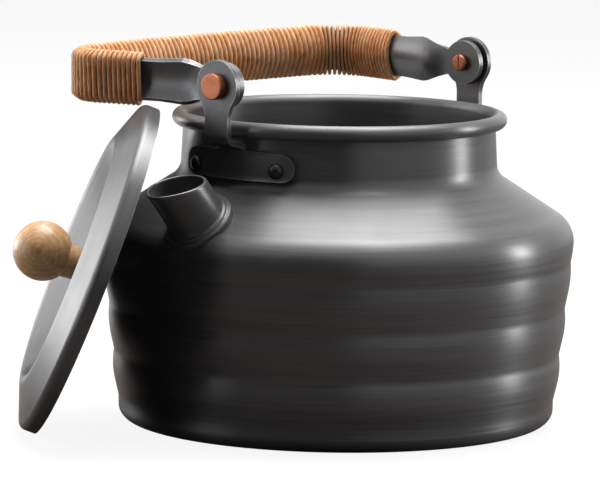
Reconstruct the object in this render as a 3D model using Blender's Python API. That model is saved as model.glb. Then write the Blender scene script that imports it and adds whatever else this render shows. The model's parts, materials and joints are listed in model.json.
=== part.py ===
"""Camp kettle with a folding wrapped handle, its lid taken off and leaned against the body.

Metres, +Z up. The origin is the middle of the base, on the floor. The spout points along -X.
The handle turns about an axis along X and lies folded towards +Y. The lid stands on its edge
on the floor and leans on the belly between the spout and the folded handle.
"""
import math

import bmesh
import bpy
import numpy as np
from mathutils import Matrix, Vector

MM = 0.001
CLEARANCE = 0.3 * MM

# Body: a spun aluminium shell, described from the base up
WALL = 1.4 * MM
BELLY_RADIUS = 76.5 * MM
BASE_INSET = 5.7 * MM
BASE_CORNER = 4.6 * MM
FIRST_CREASE_HEIGHT = 7.3 * MM
RIB_PITCH = 15.2 * MM
RIB_SWELLS = (0.88 * MM, 0.76 * MM, 0.60 * MM)
LAST_CREASE_INSET = 0.8 * MM
BELLY_RISE = 6.6 * MM
SHOULDER_CORNER = 9.5 * MM
SHOULDER_SLOPE = math.radians(33)
NECK_RADIUS = 51.2 * MM
NECK_FILLET = 6.5 * MM
NECK_RISE = 13.8 * MM
BEAD_RADIUS = 2.5 * MM
BEAD_INSET = 0.6 * MM
BODY_STEPS = 44

# Spout: a short tube on a stepped round flange, cut aslant, with a pulled pouring lip
SPOUT_UP_SHOULDER = 4.86 * MM
SPOUT_STAND_OFF = 1.29 * MM
SPOUT_RISE = math.radians(49)
SPOUT_TUBE_RADIUS = 9.3 * MM
SPOUT_MOUTH_TAPER = 0.2 * MM
SPOUT_WALL = 1.2 * MM
SPOUT_LENGTH = 15.2 * MM
SPOUT_MOUTH_SLANT = math.radians(26.6)
SPOUT_LIP = 1.3 * MM
FLANGE_RIM = 2.3 * MM
FLANGE_STEP_RIM = 0.9 * MM
FLANGE_STEP = 0.9 * MM
SPOUT_TAIL_NECKING = 0.4 * MM
SPOUT_COLLAR_RIM = 1.5 * MM
SPOUT_COLLAR = 1.2 * MM
SPOUT_STEPS = 28

# Brackets: one sheet each, with a pivot ear, a leg and a foot bent round the neck. The foot's
# lower edge and its rivets are placed from the foot of the neck, and the rest from the bead
BRACKET_SHEET = 1.8 * MM
FOOT_DROP = 2.6 * MM
FOOT_RIVET_RISE = 1.5 * MM
FOOT_BELOW_BEAD = 6.2 * MM
FOOT_TIP_BELOW_BEAD = 7.8 * MM
LEG_BEND_BELOW_BEAD = 7.0 * MM
FOOT_HALF_WIDTH = 22.2 * MM
FOOT_SHOULDER = 12.0 * MM
FOOT_CORNER = 4.3 * MM
LEG_WIDTH = 10.4 * MM
LEG_BEND_ANGLE = math.radians(78)
BEND_OUT_RADIUS = 3.2 * MM
BEND_UP_RADIUS = 1.6 * MM
EAR_RADIUS = 8.6 * MM
EAR_FILLET = 9.0 * MM
FOOT_RIVET_OFFSET = 16.8 * MM

# Pivots: the handle axis, and what is stacked on it from the ear inwards
PIVOT_ABOVE_BEAD = 14.0 * MM
FRONT_EAR_OFF_NECK = 9.1 * MM
REAR_EAR_OFF_NECK = 17.1 * MM
PIVOT_SHANK_RADIUS = 2.0 * MM
PIVOT_HEAD_RADIUS = 4.15 * MM
PIVOT_HEAD = 2.5 * MM
PIVOT_TAIL_RADIUS = 2.7 * MM
PIVOT_TAIL = 1.9 * MM
PIVOT_TAIL_SLOT = 0.5 * MM
FRICTION_WASHER = 0.8 * MM
FRICTION_WASHER_RADIUS = 5.4 * MM

# Foot rivets
RIVET_SHANK_RADIUS = 1.5 * MM
RIVET_HEAD_RADIUS = 2.45 * MM
RIVET_HEAD = 1.5 * MM
RIVET_TAIL_RADIUS = 2.3 * MM
RIVET_TAIL = 0.9 * MM

# Handle: a flat strip bent to a squarish hoop, with a round eye at each end
STRIP_WIDTH = 12.7 * MM
STRIP_SHEET = 1.9 * MM
STRIP_EYE_RADIUS = 7.3 * MM
STRIP_NECK = 6.0 * MM
STRIP_FLARE = 16.0 * MM
STRIP_FLARE_LIP = 0.55 * MM
STRIP_CROWN = 2.2 * MM
HANDLE_REACH = 66.8 * MM
HANDLE_CORNER = 15.0 * MM
HANDLE_BOW = 2.0 * MM

# Wrap: one cord wound round the strip
WRAP_START = 28.0 * MM
WRAP_TURNS = 64
CORD_DIAMETER = 1.6 * MM
LEAST_TURN_GAP = 0.4 * MM

# Lid: a dished round sheet with a skirt that covers the bead
LID_SHEET = 0.8 * MM
LID_SKIRT_CLEARANCE = 0.2 * MM
LID_SKIRT = 5.9 * MM
LID_CREST_RADIUS = 43.0 * MM
LID_DISH_RADIUS = 34.5 * MM
LID_DISH = 6.8 * MM
LID_EDGE = 1.6 * MM
LID_STEPS = 40

# Lid pose: how far its top edge is below the folded handle's axis, how much it leans at least,
# the turn of its outward normal, and its place along the belly
LID_TOP_BELOW_PIVOT = 6.76 * MM
LID_LEAST_LEAN = math.radians(18)
LID_TURN = math.radians(43.0)
LID_ALONG_BELLY = -28.6 * MM

# Knob: a turned wooden ball on a short neck, held by a screw and washer from below
KNOB_BALL_RADIUS = 9.5 * MM
KNOB_RISE = 17.2 * MM
KNOB_NECK_RADIUS = 5.2 * MM
KNOB_FOOT_RADIUS = 7.4 * MM
KNOB_FOOT = 1.0 * MM
SCREW_RADIUS = 1.5 * MM
SCREW_HEAD_RADIUS = 3.2 * MM
SCREW_HEAD = 1.3 * MM
SCREW_LENGTH = 13.0 * MM
WASHER_RADIUS = 4.6 * MM
WASHER_SHEET = 0.5 * MM

# Worked out from the sizes above
BASE_RADIUS = BELLY_RADIUS - BASE_INSET
LAST_CREASE_RADIUS = BELLY_RADIUS - LAST_CREASE_INSET
LAST_CREASE_HEIGHT = FIRST_CREASE_HEIGHT + len(RIB_SWELLS) * RIB_PITCH
BELLY_HEIGHT = LAST_CREASE_HEIGHT + BELLY_RISE
SLOPE_RUN = math.cos(SHOULDER_SLOPE)
SLOPE_CLIMB = math.sin(SHOULDER_SLOPE)
SHOULDER_FOOT_X = BELLY_RADIUS - SHOULDER_CORNER * (1 - SLOPE_CLIMB)
SHOULDER_FOOT_Z = BELLY_HEIGHT + SHOULDER_CORNER * SLOPE_RUN
NECK_FILLET_X = NECK_RADIUS + NECK_FILLET
NECK_FOOT = SHOULDER_FOOT_Z + (NECK_FILLET - (NECK_FILLET_X - SHOULDER_FOOT_X) * SLOPE_CLIMB) / SLOPE_RUN
BEAD_HEIGHT = NECK_FOOT + NECK_RISE
BEAD_CENTRE_RADIUS = NECK_RADIUS - WALL + BEAD_RADIUS - BEAD_INSET
SPOUT_SEAT = Vector((SPOUT_UP_SHOULDER * SLOPE_RUN - SPOUT_STAND_OFF * SLOPE_CLIMB - SHOULDER_FOOT_X, 0,
                     SHOULDER_FOOT_Z + SPOUT_UP_SHOULDER * SLOPE_CLIMB + SPOUT_STAND_OFF * SLOPE_RUN))
SPOUT_MOUTH_RADIUS = SPOUT_TUBE_RADIUS - SPOUT_MOUTH_TAPER
FLANGE_RADIUS = SPOUT_TUBE_RADIUS + FLANGE_RIM
FLANGE_STEP_RADIUS = SPOUT_TUBE_RADIUS + FLANGE_STEP_RIM
SPOUT_TAIL_RADIUS = SPOUT_TUBE_RADIUS - SPOUT_TAIL_NECKING
SPOUT_COLLAR_RADIUS = SPOUT_TAIL_RADIUS + SPOUT_COLLAR_RIM
FOOT_BOTTOM = NECK_FOOT - FOOT_DROP
FOOT_RIVET_HEIGHT = NECK_FOOT + FOOT_RIVET_RISE
FOOT_TOP = BEAD_HEIGHT - FOOT_BELOW_BEAD
FOOT_TIP_HEIGHT = BEAD_HEIGHT - FOOT_TIP_BELOW_BEAD
LEG_BEND_HEIGHT = BEAD_HEIGHT - LEG_BEND_BELOW_BEAD
PIVOT_HEIGHT = BEAD_HEIGHT + PIVOT_ABOVE_BEAD
FRONT_EAR_FACE = -NECK_RADIUS - FRONT_EAR_OFF_NECK
REAR_EAR_FACE = NECK_RADIUS + REAR_EAR_OFF_NECK
LID_RADIUS = BEAD_CENTRE_RADIUS + BEAD_RADIUS + LID_SKIRT_CLEARANCE + LID_SHEET
PIVOT_HOLE_RADIUS = PIVOT_SHANK_RADIUS + CLEARANCE
RIVET_HOLE_RADIUS = RIVET_SHANK_RADIUS + CLEARANCE
SCREW_HOLE_RADIUS = SCREW_RADIUS + CLEARANCE
EYE_INSET = BRACKET_SHEET + FRICTION_WASHER + STRIP_SHEET / 2 + 2 * CLEARANCE
FRONT_EYE_X = FRONT_EAR_FACE + EYE_INSET
REAR_EYE_X = REAR_EAR_FACE - EYE_INSET
HANDLE_CENTRE_X = (FRONT_EYE_X + REAR_EYE_X) / 2
HANDLE_HALF_SPAN = (REAR_EYE_X - FRONT_EYE_X) / 2
CROWN_CUTS = [STRIP_WIDTH * share for share in (-0.34, -0.13, 0.13, 0.34)]

MATERIALS = {
    "anodised_aluminium": ((0.060, 0.060, 0.063), 0.42, 0.75),
    "coated_steel": ((0.050, 0.050, 0.052), 0.45, 0.60),
    "copper": ((0.72, 0.33, 0.17), 0.38, 1.0),
    "dark_rivet": ((0.030, 0.030, 0.032), 0.35, 0.70),
    "fibre_washer": ((0.015, 0.015, 0.016), 0.80, 0.0),
    "waxed_cord": ((0.42, 0.20, 0.085), 0.62, 0.0),
    "beech": ((0.68, 0.42, 0.19), 0.48, 0.0),
    "steel": ((0.55, 0.55, 0.56), 0.32, 1.0),
}


def arc(centre_x, centre_y, radius, start, end, steps):
    """Points on an arc, from the start to the end angle in degrees."""
    points = []
    for i in range(steps + 1):
        angle = math.radians(start + (end - start) * i / steps)
        points.append((centre_x + radius * math.cos(angle), centre_y + radius * math.sin(angle)))
    return points


def rounded(corners, steps=4):
    """An outline through corners (x, y, radius), with each corner that has a radius rounded."""
    points = []
    count = len(corners)
    for i, (x, y, radius) in enumerate(corners):
        here = Vector((x, y))
        if radius == 0:
            points.append((x, y))
            continue
        back = (Vector(corners[i - 1][:2]) - here).normalized()
        ahead = (Vector(corners[(i + 1) % count][:2]) - here).normalized()
        half = back.angle(ahead) / 2
        centre = here + (back + ahead).normalized() * radius / math.sin(half)
        start = here + back * radius / math.tan(half) - centre
        end = here + ahead * radius / math.tan(half) - centre
        sweep = start.angle_signed(end)
        for k in range(steps + 1):
            turn = Matrix.Rotation(-sweep * k / steps, 2)
            points.append(tuple(centre + turn @ start))
    return points


def offset(points, distance):
    """An open outline moved sideways, to the left of its direction, by a distance."""
    moved = []
    for i, (x, y) in enumerate(points):
        before = Vector(points[max(i - 1, 0)])
        after = Vector(points[min(i + 1, len(points) - 1)])
        into = (Vector((x, y)) - before).normalized() if i > 0 else (after - Vector((x, y))).normalized()
        out = (after - Vector((x, y))).normalized() if i < len(points) - 1 else into
        left_in = Vector((-into.y, into.x))
        left_out = Vector((-out.y, out.x))
        mitre = (left_in + left_out).normalized()
        moved.append(tuple(Vector((x, y)) + mitre * distance / mitre.dot(left_in)))
    return moved


def material(name):
    """The named material, made on first use."""
    if name in bpy.data.materials:
        return bpy.data.materials[name]
    colour, roughness, metallic = MATERIALS[name]
    made = bpy.data.materials.new(name)
    made.use_nodes = True
    shader = made.node_tree.nodes["Principled BSDF"]
    shader.inputs["Base Color"].default_value = (*colour, 1)
    shader.inputs["Roughness"].default_value = roughness
    shader.inputs["Metallic"].default_value = metallic
    made.diffuse_color = (*colour, 1)
    return made


def add_object(name, mesh_data, material_name=None, matrix=Matrix.Identity(4), smooth_angle=35):
    """Links a mesh as an object, with outward faces and smooth shading up to an angle."""
    bmesh.ops.remove_doubles(mesh_data, verts=mesh_data.verts, dist=1e-7)
    bmesh.ops.recalc_face_normals(mesh_data, faces=mesh_data.faces)
    mesh = bpy.data.meshes.new(name)
    mesh_data.to_mesh(mesh)
    mesh_data.free()
    mesh.shade_smooth()
    mesh.set_sharp_from_angle(angle=math.radians(smooth_angle))
    made = bpy.data.objects.new(name, mesh)
    made.matrix_world = matrix
    if material_name:
        mesh.materials.append(material(material_name))
    bpy.context.scene.collection.objects.link(made)
    return made


def turned(outline, steps):
    """A bmesh turned about Z from an outline of (radius, height) points."""
    mesh_data = bmesh.new()
    closed = outline[0][0] > 1e-9 or outline[-1][0] > 1e-9
    rings = []
    for radius, height in outline:
        if radius < 1e-9:
            rings.append([mesh_data.verts.new((0, 0, height))] * steps)
            continue
        ring = []
        for k in range(steps):
            angle = 2 * math.pi * k / steps
            ring.append(mesh_data.verts.new((radius * math.cos(angle), radius * math.sin(angle), height)))
        rings.append(ring)
    pairs = list(zip(rings, rings[1:]))
    if closed:
        pairs.append((rings[-1], rings[0]))
    for low, high in pairs:
        for k in range(steps):
            corners = [low[k], low[(k + 1) % steps], high[(k + 1) % steps], high[k]]
            mesh_data.faces.new(list(dict.fromkeys(corners)))
    return mesh_data


def cut(target, cutter):
    """Cuts one object out of another with a Boolean that stays live."""
    cutter.hide_render = True
    cutter.display_type = "WIRE"
    modifier = target.modifiers.new("cut " + cutter.name, "BOOLEAN")
    modifier.operation = "DIFFERENCE"
    modifier.solver = "EXACT"
    modifier.object = cutter


def drill(name, target, radius, start, end, steps=20):
    """Cuts a round hole from one point to another."""
    middle = (start + end) / 2
    rod = turned([(0, -0.5), (radius, -0.5), (radius, 0.5), (0, 0.5)], steps)
    along = end - start
    frame = Matrix.Translation(middle) @ along.to_track_quat("Z", "Y").to_matrix().to_4x4()
    bmesh.ops.scale(rod, vec=(1, 1, along.length), verts=rod.verts)
    cutter = add_object(name, rod, matrix=frame)
    cut(target, cutter)
    return cutter


def frame_along(origin, direction):
    """A frame at a point whose +Z runs along a direction."""
    return Matrix.Translation(origin) @ direction.to_track_quat("Z", "Y").to_matrix().to_4x4()


# Body

def lower_outline(rib_points, curve_points):
    """The body's outer outline from the middle of the base up to the foot of the neck."""
    corner_x = BASE_RADIUS - BASE_CORNER
    points = [(0, 0)]
    points += arc(corner_x, BASE_CORNER, BASE_CORNER, -90, 0, curve_points)
    ribs = len(RIB_SWELLS)
    widening = (LAST_CREASE_RADIUS - BASE_RADIUS) / ribs
    for rib, swell in enumerate(RIB_SWELLS):
        for i in range(rib_points + 1):
            part = i / (rib_points + 1)
            height = FIRST_CREASE_HEIGHT + (rib + part) * RIB_PITCH
            bulge = swell * math.sin(math.pi * part ** 1.25)
            points.append((BASE_RADIUS + (rib + part) * widening + bulge, height))
    for i in range(curve_points):
        part = i / curve_points
        radius = LAST_CREASE_RADIUS + (BELLY_RADIUS - LAST_CREASE_RADIUS) * math.sin(part * math.pi / 2)
        points.append((radius, LAST_CREASE_HEIGHT + part * BELLY_RISE))
    slope = math.degrees(SHOULDER_SLOPE)
    points += arc(BELLY_RADIUS - SHOULDER_CORNER, BELLY_HEIGHT, SHOULDER_CORNER, 0, 90 - slope,
                  curve_points + 2)
    points += arc(NECK_FILLET_X, NECK_FOOT, NECK_FILLET, 270 - slope, 180, curve_points + 1)
    return points


def body_radius(height):
    """Outer radius of the body between the shoulder and the bead."""
    if height >= NECK_FOOT:
        return NECK_RADIUS - BEAD_INSET * (height - NECK_FOOT) / NECK_RISE
    return NECK_FILLET_X - math.sqrt(NECK_FILLET ** 2 - (NECK_FOOT - height) ** 2)


def make_body():
    """The spun shell: ribbed wall, sloping shoulder, neck and a rolled bead round the mouth."""
    outside = lower_outline(rib_points=3, curve_points=3)
    inside = offset(lower_outline(rib_points=2, curve_points=2), WALL)
    inside[0] = (0, WALL)
    meets_neck = 180 + math.degrees(math.acos(1 - WALL / BEAD_RADIUS))
    bead = arc(BEAD_CENTRE_RADIUS, BEAD_HEIGHT, BEAD_RADIUS, meets_neck, 540, 8)
    outline = outside + bead + inside[::-1]
    body = add_object("kettle_body", turned(outline, BODY_STEPS), "anodised_aluminium")
    along = spout_direction()
    drill("spout_hole_cutter", body, SPOUT_TAIL_RADIUS + CLEARANCE, SPOUT_SEAT - along * 9 * MM,
          SPOUT_SEAT + along * 9 * MM, SPOUT_STEPS)
    for name, direction in foot_rivet_directions():
        centre = Vector((0, 0, FOOT_RIVET_HEIGHT))
        drill(name + "_wall_cutter", body, RIVET_HOLE_RADIUS, centre + direction * (NECK_RADIUS - 5 * MM),
              centre + direction * (NECK_RADIUS + 5 * MM), 14)
    return body


# Spout

def spout_direction():
    """The way the spout points, up and away from the kettle's axis."""
    return Vector((-math.cos(SPOUT_RISE), 0, math.sin(SPOUT_RISE)))


def shell_band(name, outer_gap, inner_gap):
    """A turned band that follows the shoulder's wall between two offsets from its outside."""
    wall = [point for point in lower_outline(rib_points=3, curve_points=3) if point[1] > BELLY_HEIGHT / 2]
    band = offset(wall, -outer_gap) + offset(wall, inner_gap)[::-1]
    return add_object(name, turned(band, BODY_STEPS))


def make_spout():
    """A lofted tube on a stepped flange, cut to sit on the shoulder and swaged inside it."""
    bore = SPOUT_TUBE_RADIUS - SPOUT_WALL
    below = -9 * MM
    flange_bottom = -5.5 * MM
    edge = 0.35 * MM
    fillet = 0.8 * MM
    mouth_wall = SPOUT_WALL * 0.8
    mouth = SPOUT_LENGTH
    middle = (FLANGE_STEP + SPOUT_LENGTH) / 2
    # Each ring is radius, height, and how far it follows the slanted mouth
    rings = [
        (bore, below, 0),
        (SPOUT_COLLAR_RADIUS, below, 0),
        (SPOUT_COLLAR_RADIUS, flange_bottom, 0),
        (FLANGE_RADIUS, flange_bottom, 0),
        (FLANGE_RADIUS, -edge, 0),
        (FLANGE_RADIUS - edge, 0, 0),
        (FLANGE_STEP_RADIUS, 0, 0),
        (FLANGE_STEP_RADIUS, FLANGE_STEP - edge, 0),
        (FLANGE_STEP_RADIUS - edge, FLANGE_STEP, 0),
        (SPOUT_TUBE_RADIUS + fillet / 2, FLANGE_STEP, 0),
        (SPOUT_TUBE_RADIUS, FLANGE_STEP + fillet, 0.05),
        (SPOUT_TUBE_RADIUS, middle, 0.45),
        (SPOUT_MOUTH_RADIUS, mouth, 1),
        (SPOUT_MOUTH_RADIUS - mouth_wall, mouth, 1),
        (bore, middle, 0.45),
        (bore, FLANGE_STEP, 0),
    ]
    loft = bmesh.new()
    loops = []
    for radius, height, follow in rings:
        loop = []
        for k in range(SPOUT_STEPS):
            angle = 2 * math.pi * k / SPOUT_STEPS
            outward = max(0.0, -math.cos(angle)) ** 6
            reach = radius + SPOUT_LIP * follow ** 3 * outward
            up = reach * math.cos(angle)
            side = reach * math.sin(angle)
            tilt = -up * math.tan(SPOUT_MOUTH_SLANT) * follow
            loop.append(loft.verts.new((up, side, height + tilt)))
        loops.append(loop)
    for low, high in zip(loops, loops[1:] + loops[:1]):
        for k in range(SPOUT_STEPS):
            after = (k + 1) % SPOUT_STEPS
            loft.faces.new((low[k], low[after], high[after], high[k]))
    along = spout_direction()
    inward = Vector((math.sin(SPOUT_RISE), 0, math.cos(SPOUT_RISE)))
    sideways = along.cross(inward)
    frame = Matrix((inward, sideways, along)).transposed().to_4x4()
    frame.translation = SPOUT_SEAT
    spout = add_object("spout", loft, "anodised_aluminium", frame, smooth_angle=30)

    wall_cutter = shell_band("spout_wall_cutter", CLEARANCE, WALL + CLEARANCE)
    plug = drill("spout_wall_plug", wall_cutter, SPOUT_TAIL_RADIUS, SPOUT_SEAT - along * 14 * MM,
                 SPOUT_SEAT + along * 14 * MM, SPOUT_STEPS)
    plug.hide_render = True
    cut(spout, wall_cutter)
    collar_face = WALL + CLEARANCE + SPOUT_COLLAR
    cut(spout, shell_band("spout_core_cutter", -collar_face, collar_face + 10 * MM))
    return spout


# Brackets

def bracket_path(ear_face_x):
    """The bracket's inner face from the foot's lower edge up to the ear: (reach, height, tilt)."""
    inner_face = abs(ear_face_x) - BRACKET_SHEET
    points = []
    foot_rows = 5
    for i in range(foot_rows + 1):
        height = FOOT_BOTTOM + (LEG_BEND_HEIGHT - FOOT_BOTTOM) * i / foot_rows
        step = 0.05 * MM
        tilt = math.atan2(body_radius(height + step) - body_radius(height - step), 2 * step)
        points.append((body_radius(height) + CLEARANCE, height, tilt))
    reach, height, tilt = points[-1]
    rows = 4
    for i in range(1, rows + 1):
        turn = tilt + (LEG_BEND_ANGLE - tilt) * i / rows
        points.append((reach + BEND_OUT_RADIUS * (math.cos(tilt) - math.cos(turn)),
                       height + BEND_OUT_RADIUS * (math.sin(turn) - math.sin(tilt)), turn))
    reach, height, tilt = points[-1]
    last_bend = BEND_UP_RADIUS * (1 - math.cos(LEG_BEND_ANGLE))
    run = (inner_face - last_bend - reach) / math.sin(LEG_BEND_ANGLE)
    reach += run * math.sin(LEG_BEND_ANGLE)
    height += run * math.cos(LEG_BEND_ANGLE)
    for i in range(rows + 1):
        turn = LEG_BEND_ANGLE * (1 - i / rows)
        points.append((reach + BEND_UP_RADIUS * (math.cos(turn) - math.cos(LEG_BEND_ANGLE)),
                       height + BEND_UP_RADIUS * (math.sin(LEG_BEND_ANGLE) - math.sin(turn)), turn))
    points.append((inner_face, PIVOT_HEIGHT + EAR_RADIUS, 0))
    return points


def path_lengths(points):
    """Distance along a path at each of its points."""
    lengths = [0]
    for low, high in zip(points, points[1:]):
        lengths.append(lengths[-1] + math.dist(low[:2], high[:2]))
    return lengths


def bracket_outline(path, lengths):
    """The flat outline of a bracket, x across and y along the sheet, before it is bent."""
    heights = [point[1] for point in path]
    foot_top = float(np.interp(FOOT_TOP, heights, lengths))
    tip_top = float(np.interp(FOOT_TIP_HEIGHT, heights, lengths))
    ear_y = lengths[-1] - EAR_RADIUS
    half_leg = LEG_WIDTH / 2
    foot = rounded([
        (0, 0, 0),
        (FOOT_HALF_WIDTH, 0, FOOT_CORNER),
        (FOOT_HALF_WIDTH, tip_top, FOOT_CORNER),
        (FOOT_SHOULDER, foot_top, FOOT_CORNER),
        (half_leg, foot_top, LEG_WIDTH / 4),
        (half_leg, ear_y, 0),
    ], steps=4)[1:-1]
    fillet_x = half_leg + EAR_FILLET
    spread = math.degrees(math.acos(fillet_x / (EAR_RADIUS + EAR_FILLET)))
    fillet_y = ear_y - (EAR_RADIUS + EAR_FILLET) * math.sin(math.radians(spread))
    neck = arc(fillet_x, fillet_y, EAR_FILLET, 180, 180 - spread, 4)
    ear = arc(0, ear_y, EAR_RADIUS, -spread, 90, 10)[1:]
    right = foot + neck + ear
    left = [(-x, y) for x, y in right[:-1]][::-1]
    return right + left


def bend_flat(outline, cuts_across, cuts_along, sheet, place):
    """Cuts a flat outline into strips, thickens it and puts each corner where place() says."""
    flat = bmesh.new()
    flat.faces.new([flat.verts.new((x, y, 0)) for x, y in outline])
    for cuts, normal in ((cuts_across, (1, 0, 0)), (cuts_along, (0, 1, 0))):
        for value in cuts:
            everything = flat.verts[:] + flat.edges[:] + flat.faces[:]
            bmesh.ops.bisect_plane(flat, geom=everything, dist=1e-7,
                                   plane_co=Vector(normal) * value, plane_no=normal)
    extruded = bmesh.ops.extrude_face_region(flat, geom=flat.faces[:], use_keep_orig=True)
    for corner in extruded["geom"]:
        if isinstance(corner, bmesh.types.BMVert):
            corner.co.z = sheet
    for corner in flat.verts:
        corner.co = place(*corner.co)
    return flat


def make_bracket(name, ear_face_x):
    """A bracket cut flat, then bent round the neck, out past the bead and up to its ear."""
    path = bracket_path(ear_face_x)
    lengths = path_lengths(path)
    side = math.copysign(1, ear_face_x)
    bend_start = float(np.interp(LEG_BEND_HEIGHT, [point[1] for point in path], lengths))

    def place(across, along, depth):
        reach = float(np.interp(along, lengths, [point[0] for point in path]))
        height = float(np.interp(along, lengths, [point[1] for point in path]))
        tilt = float(np.interp(along, lengths, [point[2] for point in path]))
        wrapped = 1 - min(max((along - bend_start) / (BEND_OUT_RADIUS * 2), 0), 0.98)
        curve = reach / wrapped
        angle = across / curve
        forward = reach - curve * (1 - math.cos(angle)) + depth * math.cos(tilt) * math.cos(angle)
        sideways = (curve + depth * math.cos(tilt)) * math.sin(angle)
        return Vector((side * forward, side * sideways, height - depth * math.sin(tilt)))

    strips = 9
    across = [FOOT_HALF_WIDTH * (2 * i / strips - 1) for i in range(1, strips)]
    shape = bend_flat(bracket_outline(path, lengths), across, lengths[1:-1], BRACKET_SHEET, place)
    bracket = add_object(name, shape, "coated_steel", smooth_angle=40)
    pivot = Vector((ear_face_x, 0, PIVOT_HEIGHT))
    reach = Vector((5 * MM, 0, 0))
    drill(name + "_pivot_cutter", bracket, PIVOT_HOLE_RADIUS, pivot - reach, pivot + reach)
    centre = Vector((0, 0, FOOT_RIVET_HEIGHT))
    for rivet, direction in foot_rivet_directions():
        if direction.x * side > 0:
            inside, outside = (centre + direction * (NECK_RADIUS + reach) for reach in (-4 * MM, 6 * MM))
            drill(rivet + "_foot_cutter", bracket, RIVET_HOLE_RADIUS, inside, outside, 14)
    return bracket


# Rivets and washers

def foot_rivet_directions():
    """Name and outward direction of each rivet that holds a bracket's foot on the neck."""
    angle = FOOT_RIVET_OFFSET / (NECK_RADIUS + CLEARANCE + BRACKET_SHEET)
    rivets = []
    for side, end in ((-1, "front"), (1, "rear")):
        for hand, across in (("left", -1), ("right", 1)):
            direction = Vector((side * math.cos(angle), across * math.sin(angle), 0))
            rivets.append((f"{end}_foot_rivet_{hand}", direction))
    return rivets


def make_foot_rivet(name, direction):
    """A solid rivet with a domed head on the foot and a flattened tail inside the neck."""
    wall_outside = body_radius(FOOT_RIVET_HEIGHT)
    seat = wall_outside + CLEARANCE + BRACKET_SHEET + CLEARANCE
    sag = wall_outside - math.sqrt(wall_outside ** 2 - RIVET_TAIL_RADIUS ** 2)
    tail_face = wall_outside - WALL - CLEARANCE - sag
    dome = [(RIVET_HEAD_RADIUS * math.cos(math.radians(a)), seat + RIVET_HEAD * math.sin(math.radians(a)))
            for a in (0, 28, 56, 90)]
    outline = [(0, tail_face - RIVET_TAIL), (RIVET_TAIL_RADIUS * 0.85, tail_face - RIVET_TAIL),
               (RIVET_TAIL_RADIUS, tail_face - RIVET_TAIL / 2), (RIVET_TAIL_RADIUS, tail_face),
               (RIVET_SHANK_RADIUS, tail_face), (RIVET_SHANK_RADIUS, seat)] + dome[:-1]
    outline.append((0, seat + RIVET_HEAD))
    frame = frame_along(Vector((0, 0, FOOT_RIVET_HEIGHT)), direction)
    return add_object(name, turned(outline, 14), "dark_rivet", frame, smooth_angle=50)


def make_pivot_rivet(name, ear_face_x):
    """A copper rivet with a flat head outside the ear and a split tail inside the handle's eye."""
    inward = Vector((-math.copysign(1, ear_face_x), 0, 0))
    stack = BRACKET_SHEET + FRICTION_WASHER + STRIP_SHEET + 3 * CLEARANCE
    edge = 0.4 * MM
    outline = [
        (0, -CLEARANCE - PIVOT_HEAD),
        (PIVOT_HEAD_RADIUS - edge, -CLEARANCE - PIVOT_HEAD),
        (PIVOT_HEAD_RADIUS, -CLEARANCE - PIVOT_HEAD + edge),
        (PIVOT_HEAD_RADIUS, -CLEARANCE),
        (PIVOT_SHANK_RADIUS, -CLEARANCE),
        (PIVOT_SHANK_RADIUS, stack),
        (PIVOT_TAIL_RADIUS, stack),
        (PIVOT_TAIL_RADIUS, stack + PIVOT_TAIL - edge),
        (PIVOT_TAIL_RADIUS - edge, stack + PIVOT_TAIL),
        (0, stack + PIVOT_TAIL),
    ]
    frame = frame_along(Vector((ear_face_x, 0, PIVOT_HEIGHT)), inward)
    rivet = add_object(name, turned(outline, 20), "copper", frame, smooth_angle=40)
    slot = bmesh.new()
    bmesh.ops.create_cube(slot, size=1)
    bmesh.ops.scale(slot, vec=(PIVOT_TAIL, PIVOT_TAIL_SLOT, PIVOT_TAIL_RADIUS * 4), verts=slot.verts)
    slot_at = Vector((ear_face_x, 0, PIVOT_HEIGHT)) + inward * (stack + PIVOT_TAIL * 1.1)
    cut(rivet, add_object(name + "_slot_cutter", slot, matrix=Matrix.Translation(slot_at)))
    return rivet


def ring_object(name, outer, inner, sheet, frame, material_name, steps=20):
    """A flat washer that starts at its frame's origin and grows along +Z."""
    return add_object(name, turned([(inner, 0), (outer, 0), (outer, sheet), (inner, sheet)], steps),
                      material_name, frame)


def make_friction_washer(name, ear_face_x):
    """The washer between an ear and the handle's eye."""
    inward = Vector((-math.copysign(1, ear_face_x), 0, 0))
    place = Vector((ear_face_x, 0, PIVOT_HEIGHT)) + inward * (BRACKET_SHEET + CLEARANCE)
    return ring_object(name, FRICTION_WASHER_RADIUS, PIVOT_HOLE_RADIUS, FRICTION_WASHER,
                       frame_along(place, inward), "fibre_washer")


# Handle

def handle_path():
    """The strip's middle line seen from above: (x, y, heading) points from eye to eye."""
    corner = HANDLE_CORNER
    half_chord = HANDLE_HALF_SPAN - corner
    bow_radius = (half_chord ** 2 + HANDLE_BOW ** 2) / (2 * HANDLE_BOW)
    bow_centre_y = HANDLE_REACH - bow_radius
    bow = math.asin(half_chord / (bow_radius - corner))
    corner_y = bow_centre_y + (bow_radius - corner) * math.cos(bow)
    points = [(-HANDLE_HALF_SPAN, 0, 0.0), (-HANDLE_HALF_SPAN, corner_y, 0.0)]
    corner_rows = 8
    for i in range(1, corner_rows + 1):
        turn = (math.pi / 2 - bow) * i / corner_rows
        points.append((-half_chord - corner * math.cos(turn), corner_y + corner * math.sin(turn), turn))
    bow_rows = 8
    for i in range(1, bow_rows):
        turn = -bow + 2 * bow * i / bow_rows
        points.append((bow_radius * math.sin(turn), bow_centre_y + bow_radius * math.cos(turn),
                       math.pi / 2 + turn))
    left = points[:2 + corner_rows]
    mirrored = [(-x, y, math.pi - turn) for x, y, turn in left[::-1]]
    return [(x + HANDLE_CENTRE_X, y, turn) for x, y, turn in points + mirrored]


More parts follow.
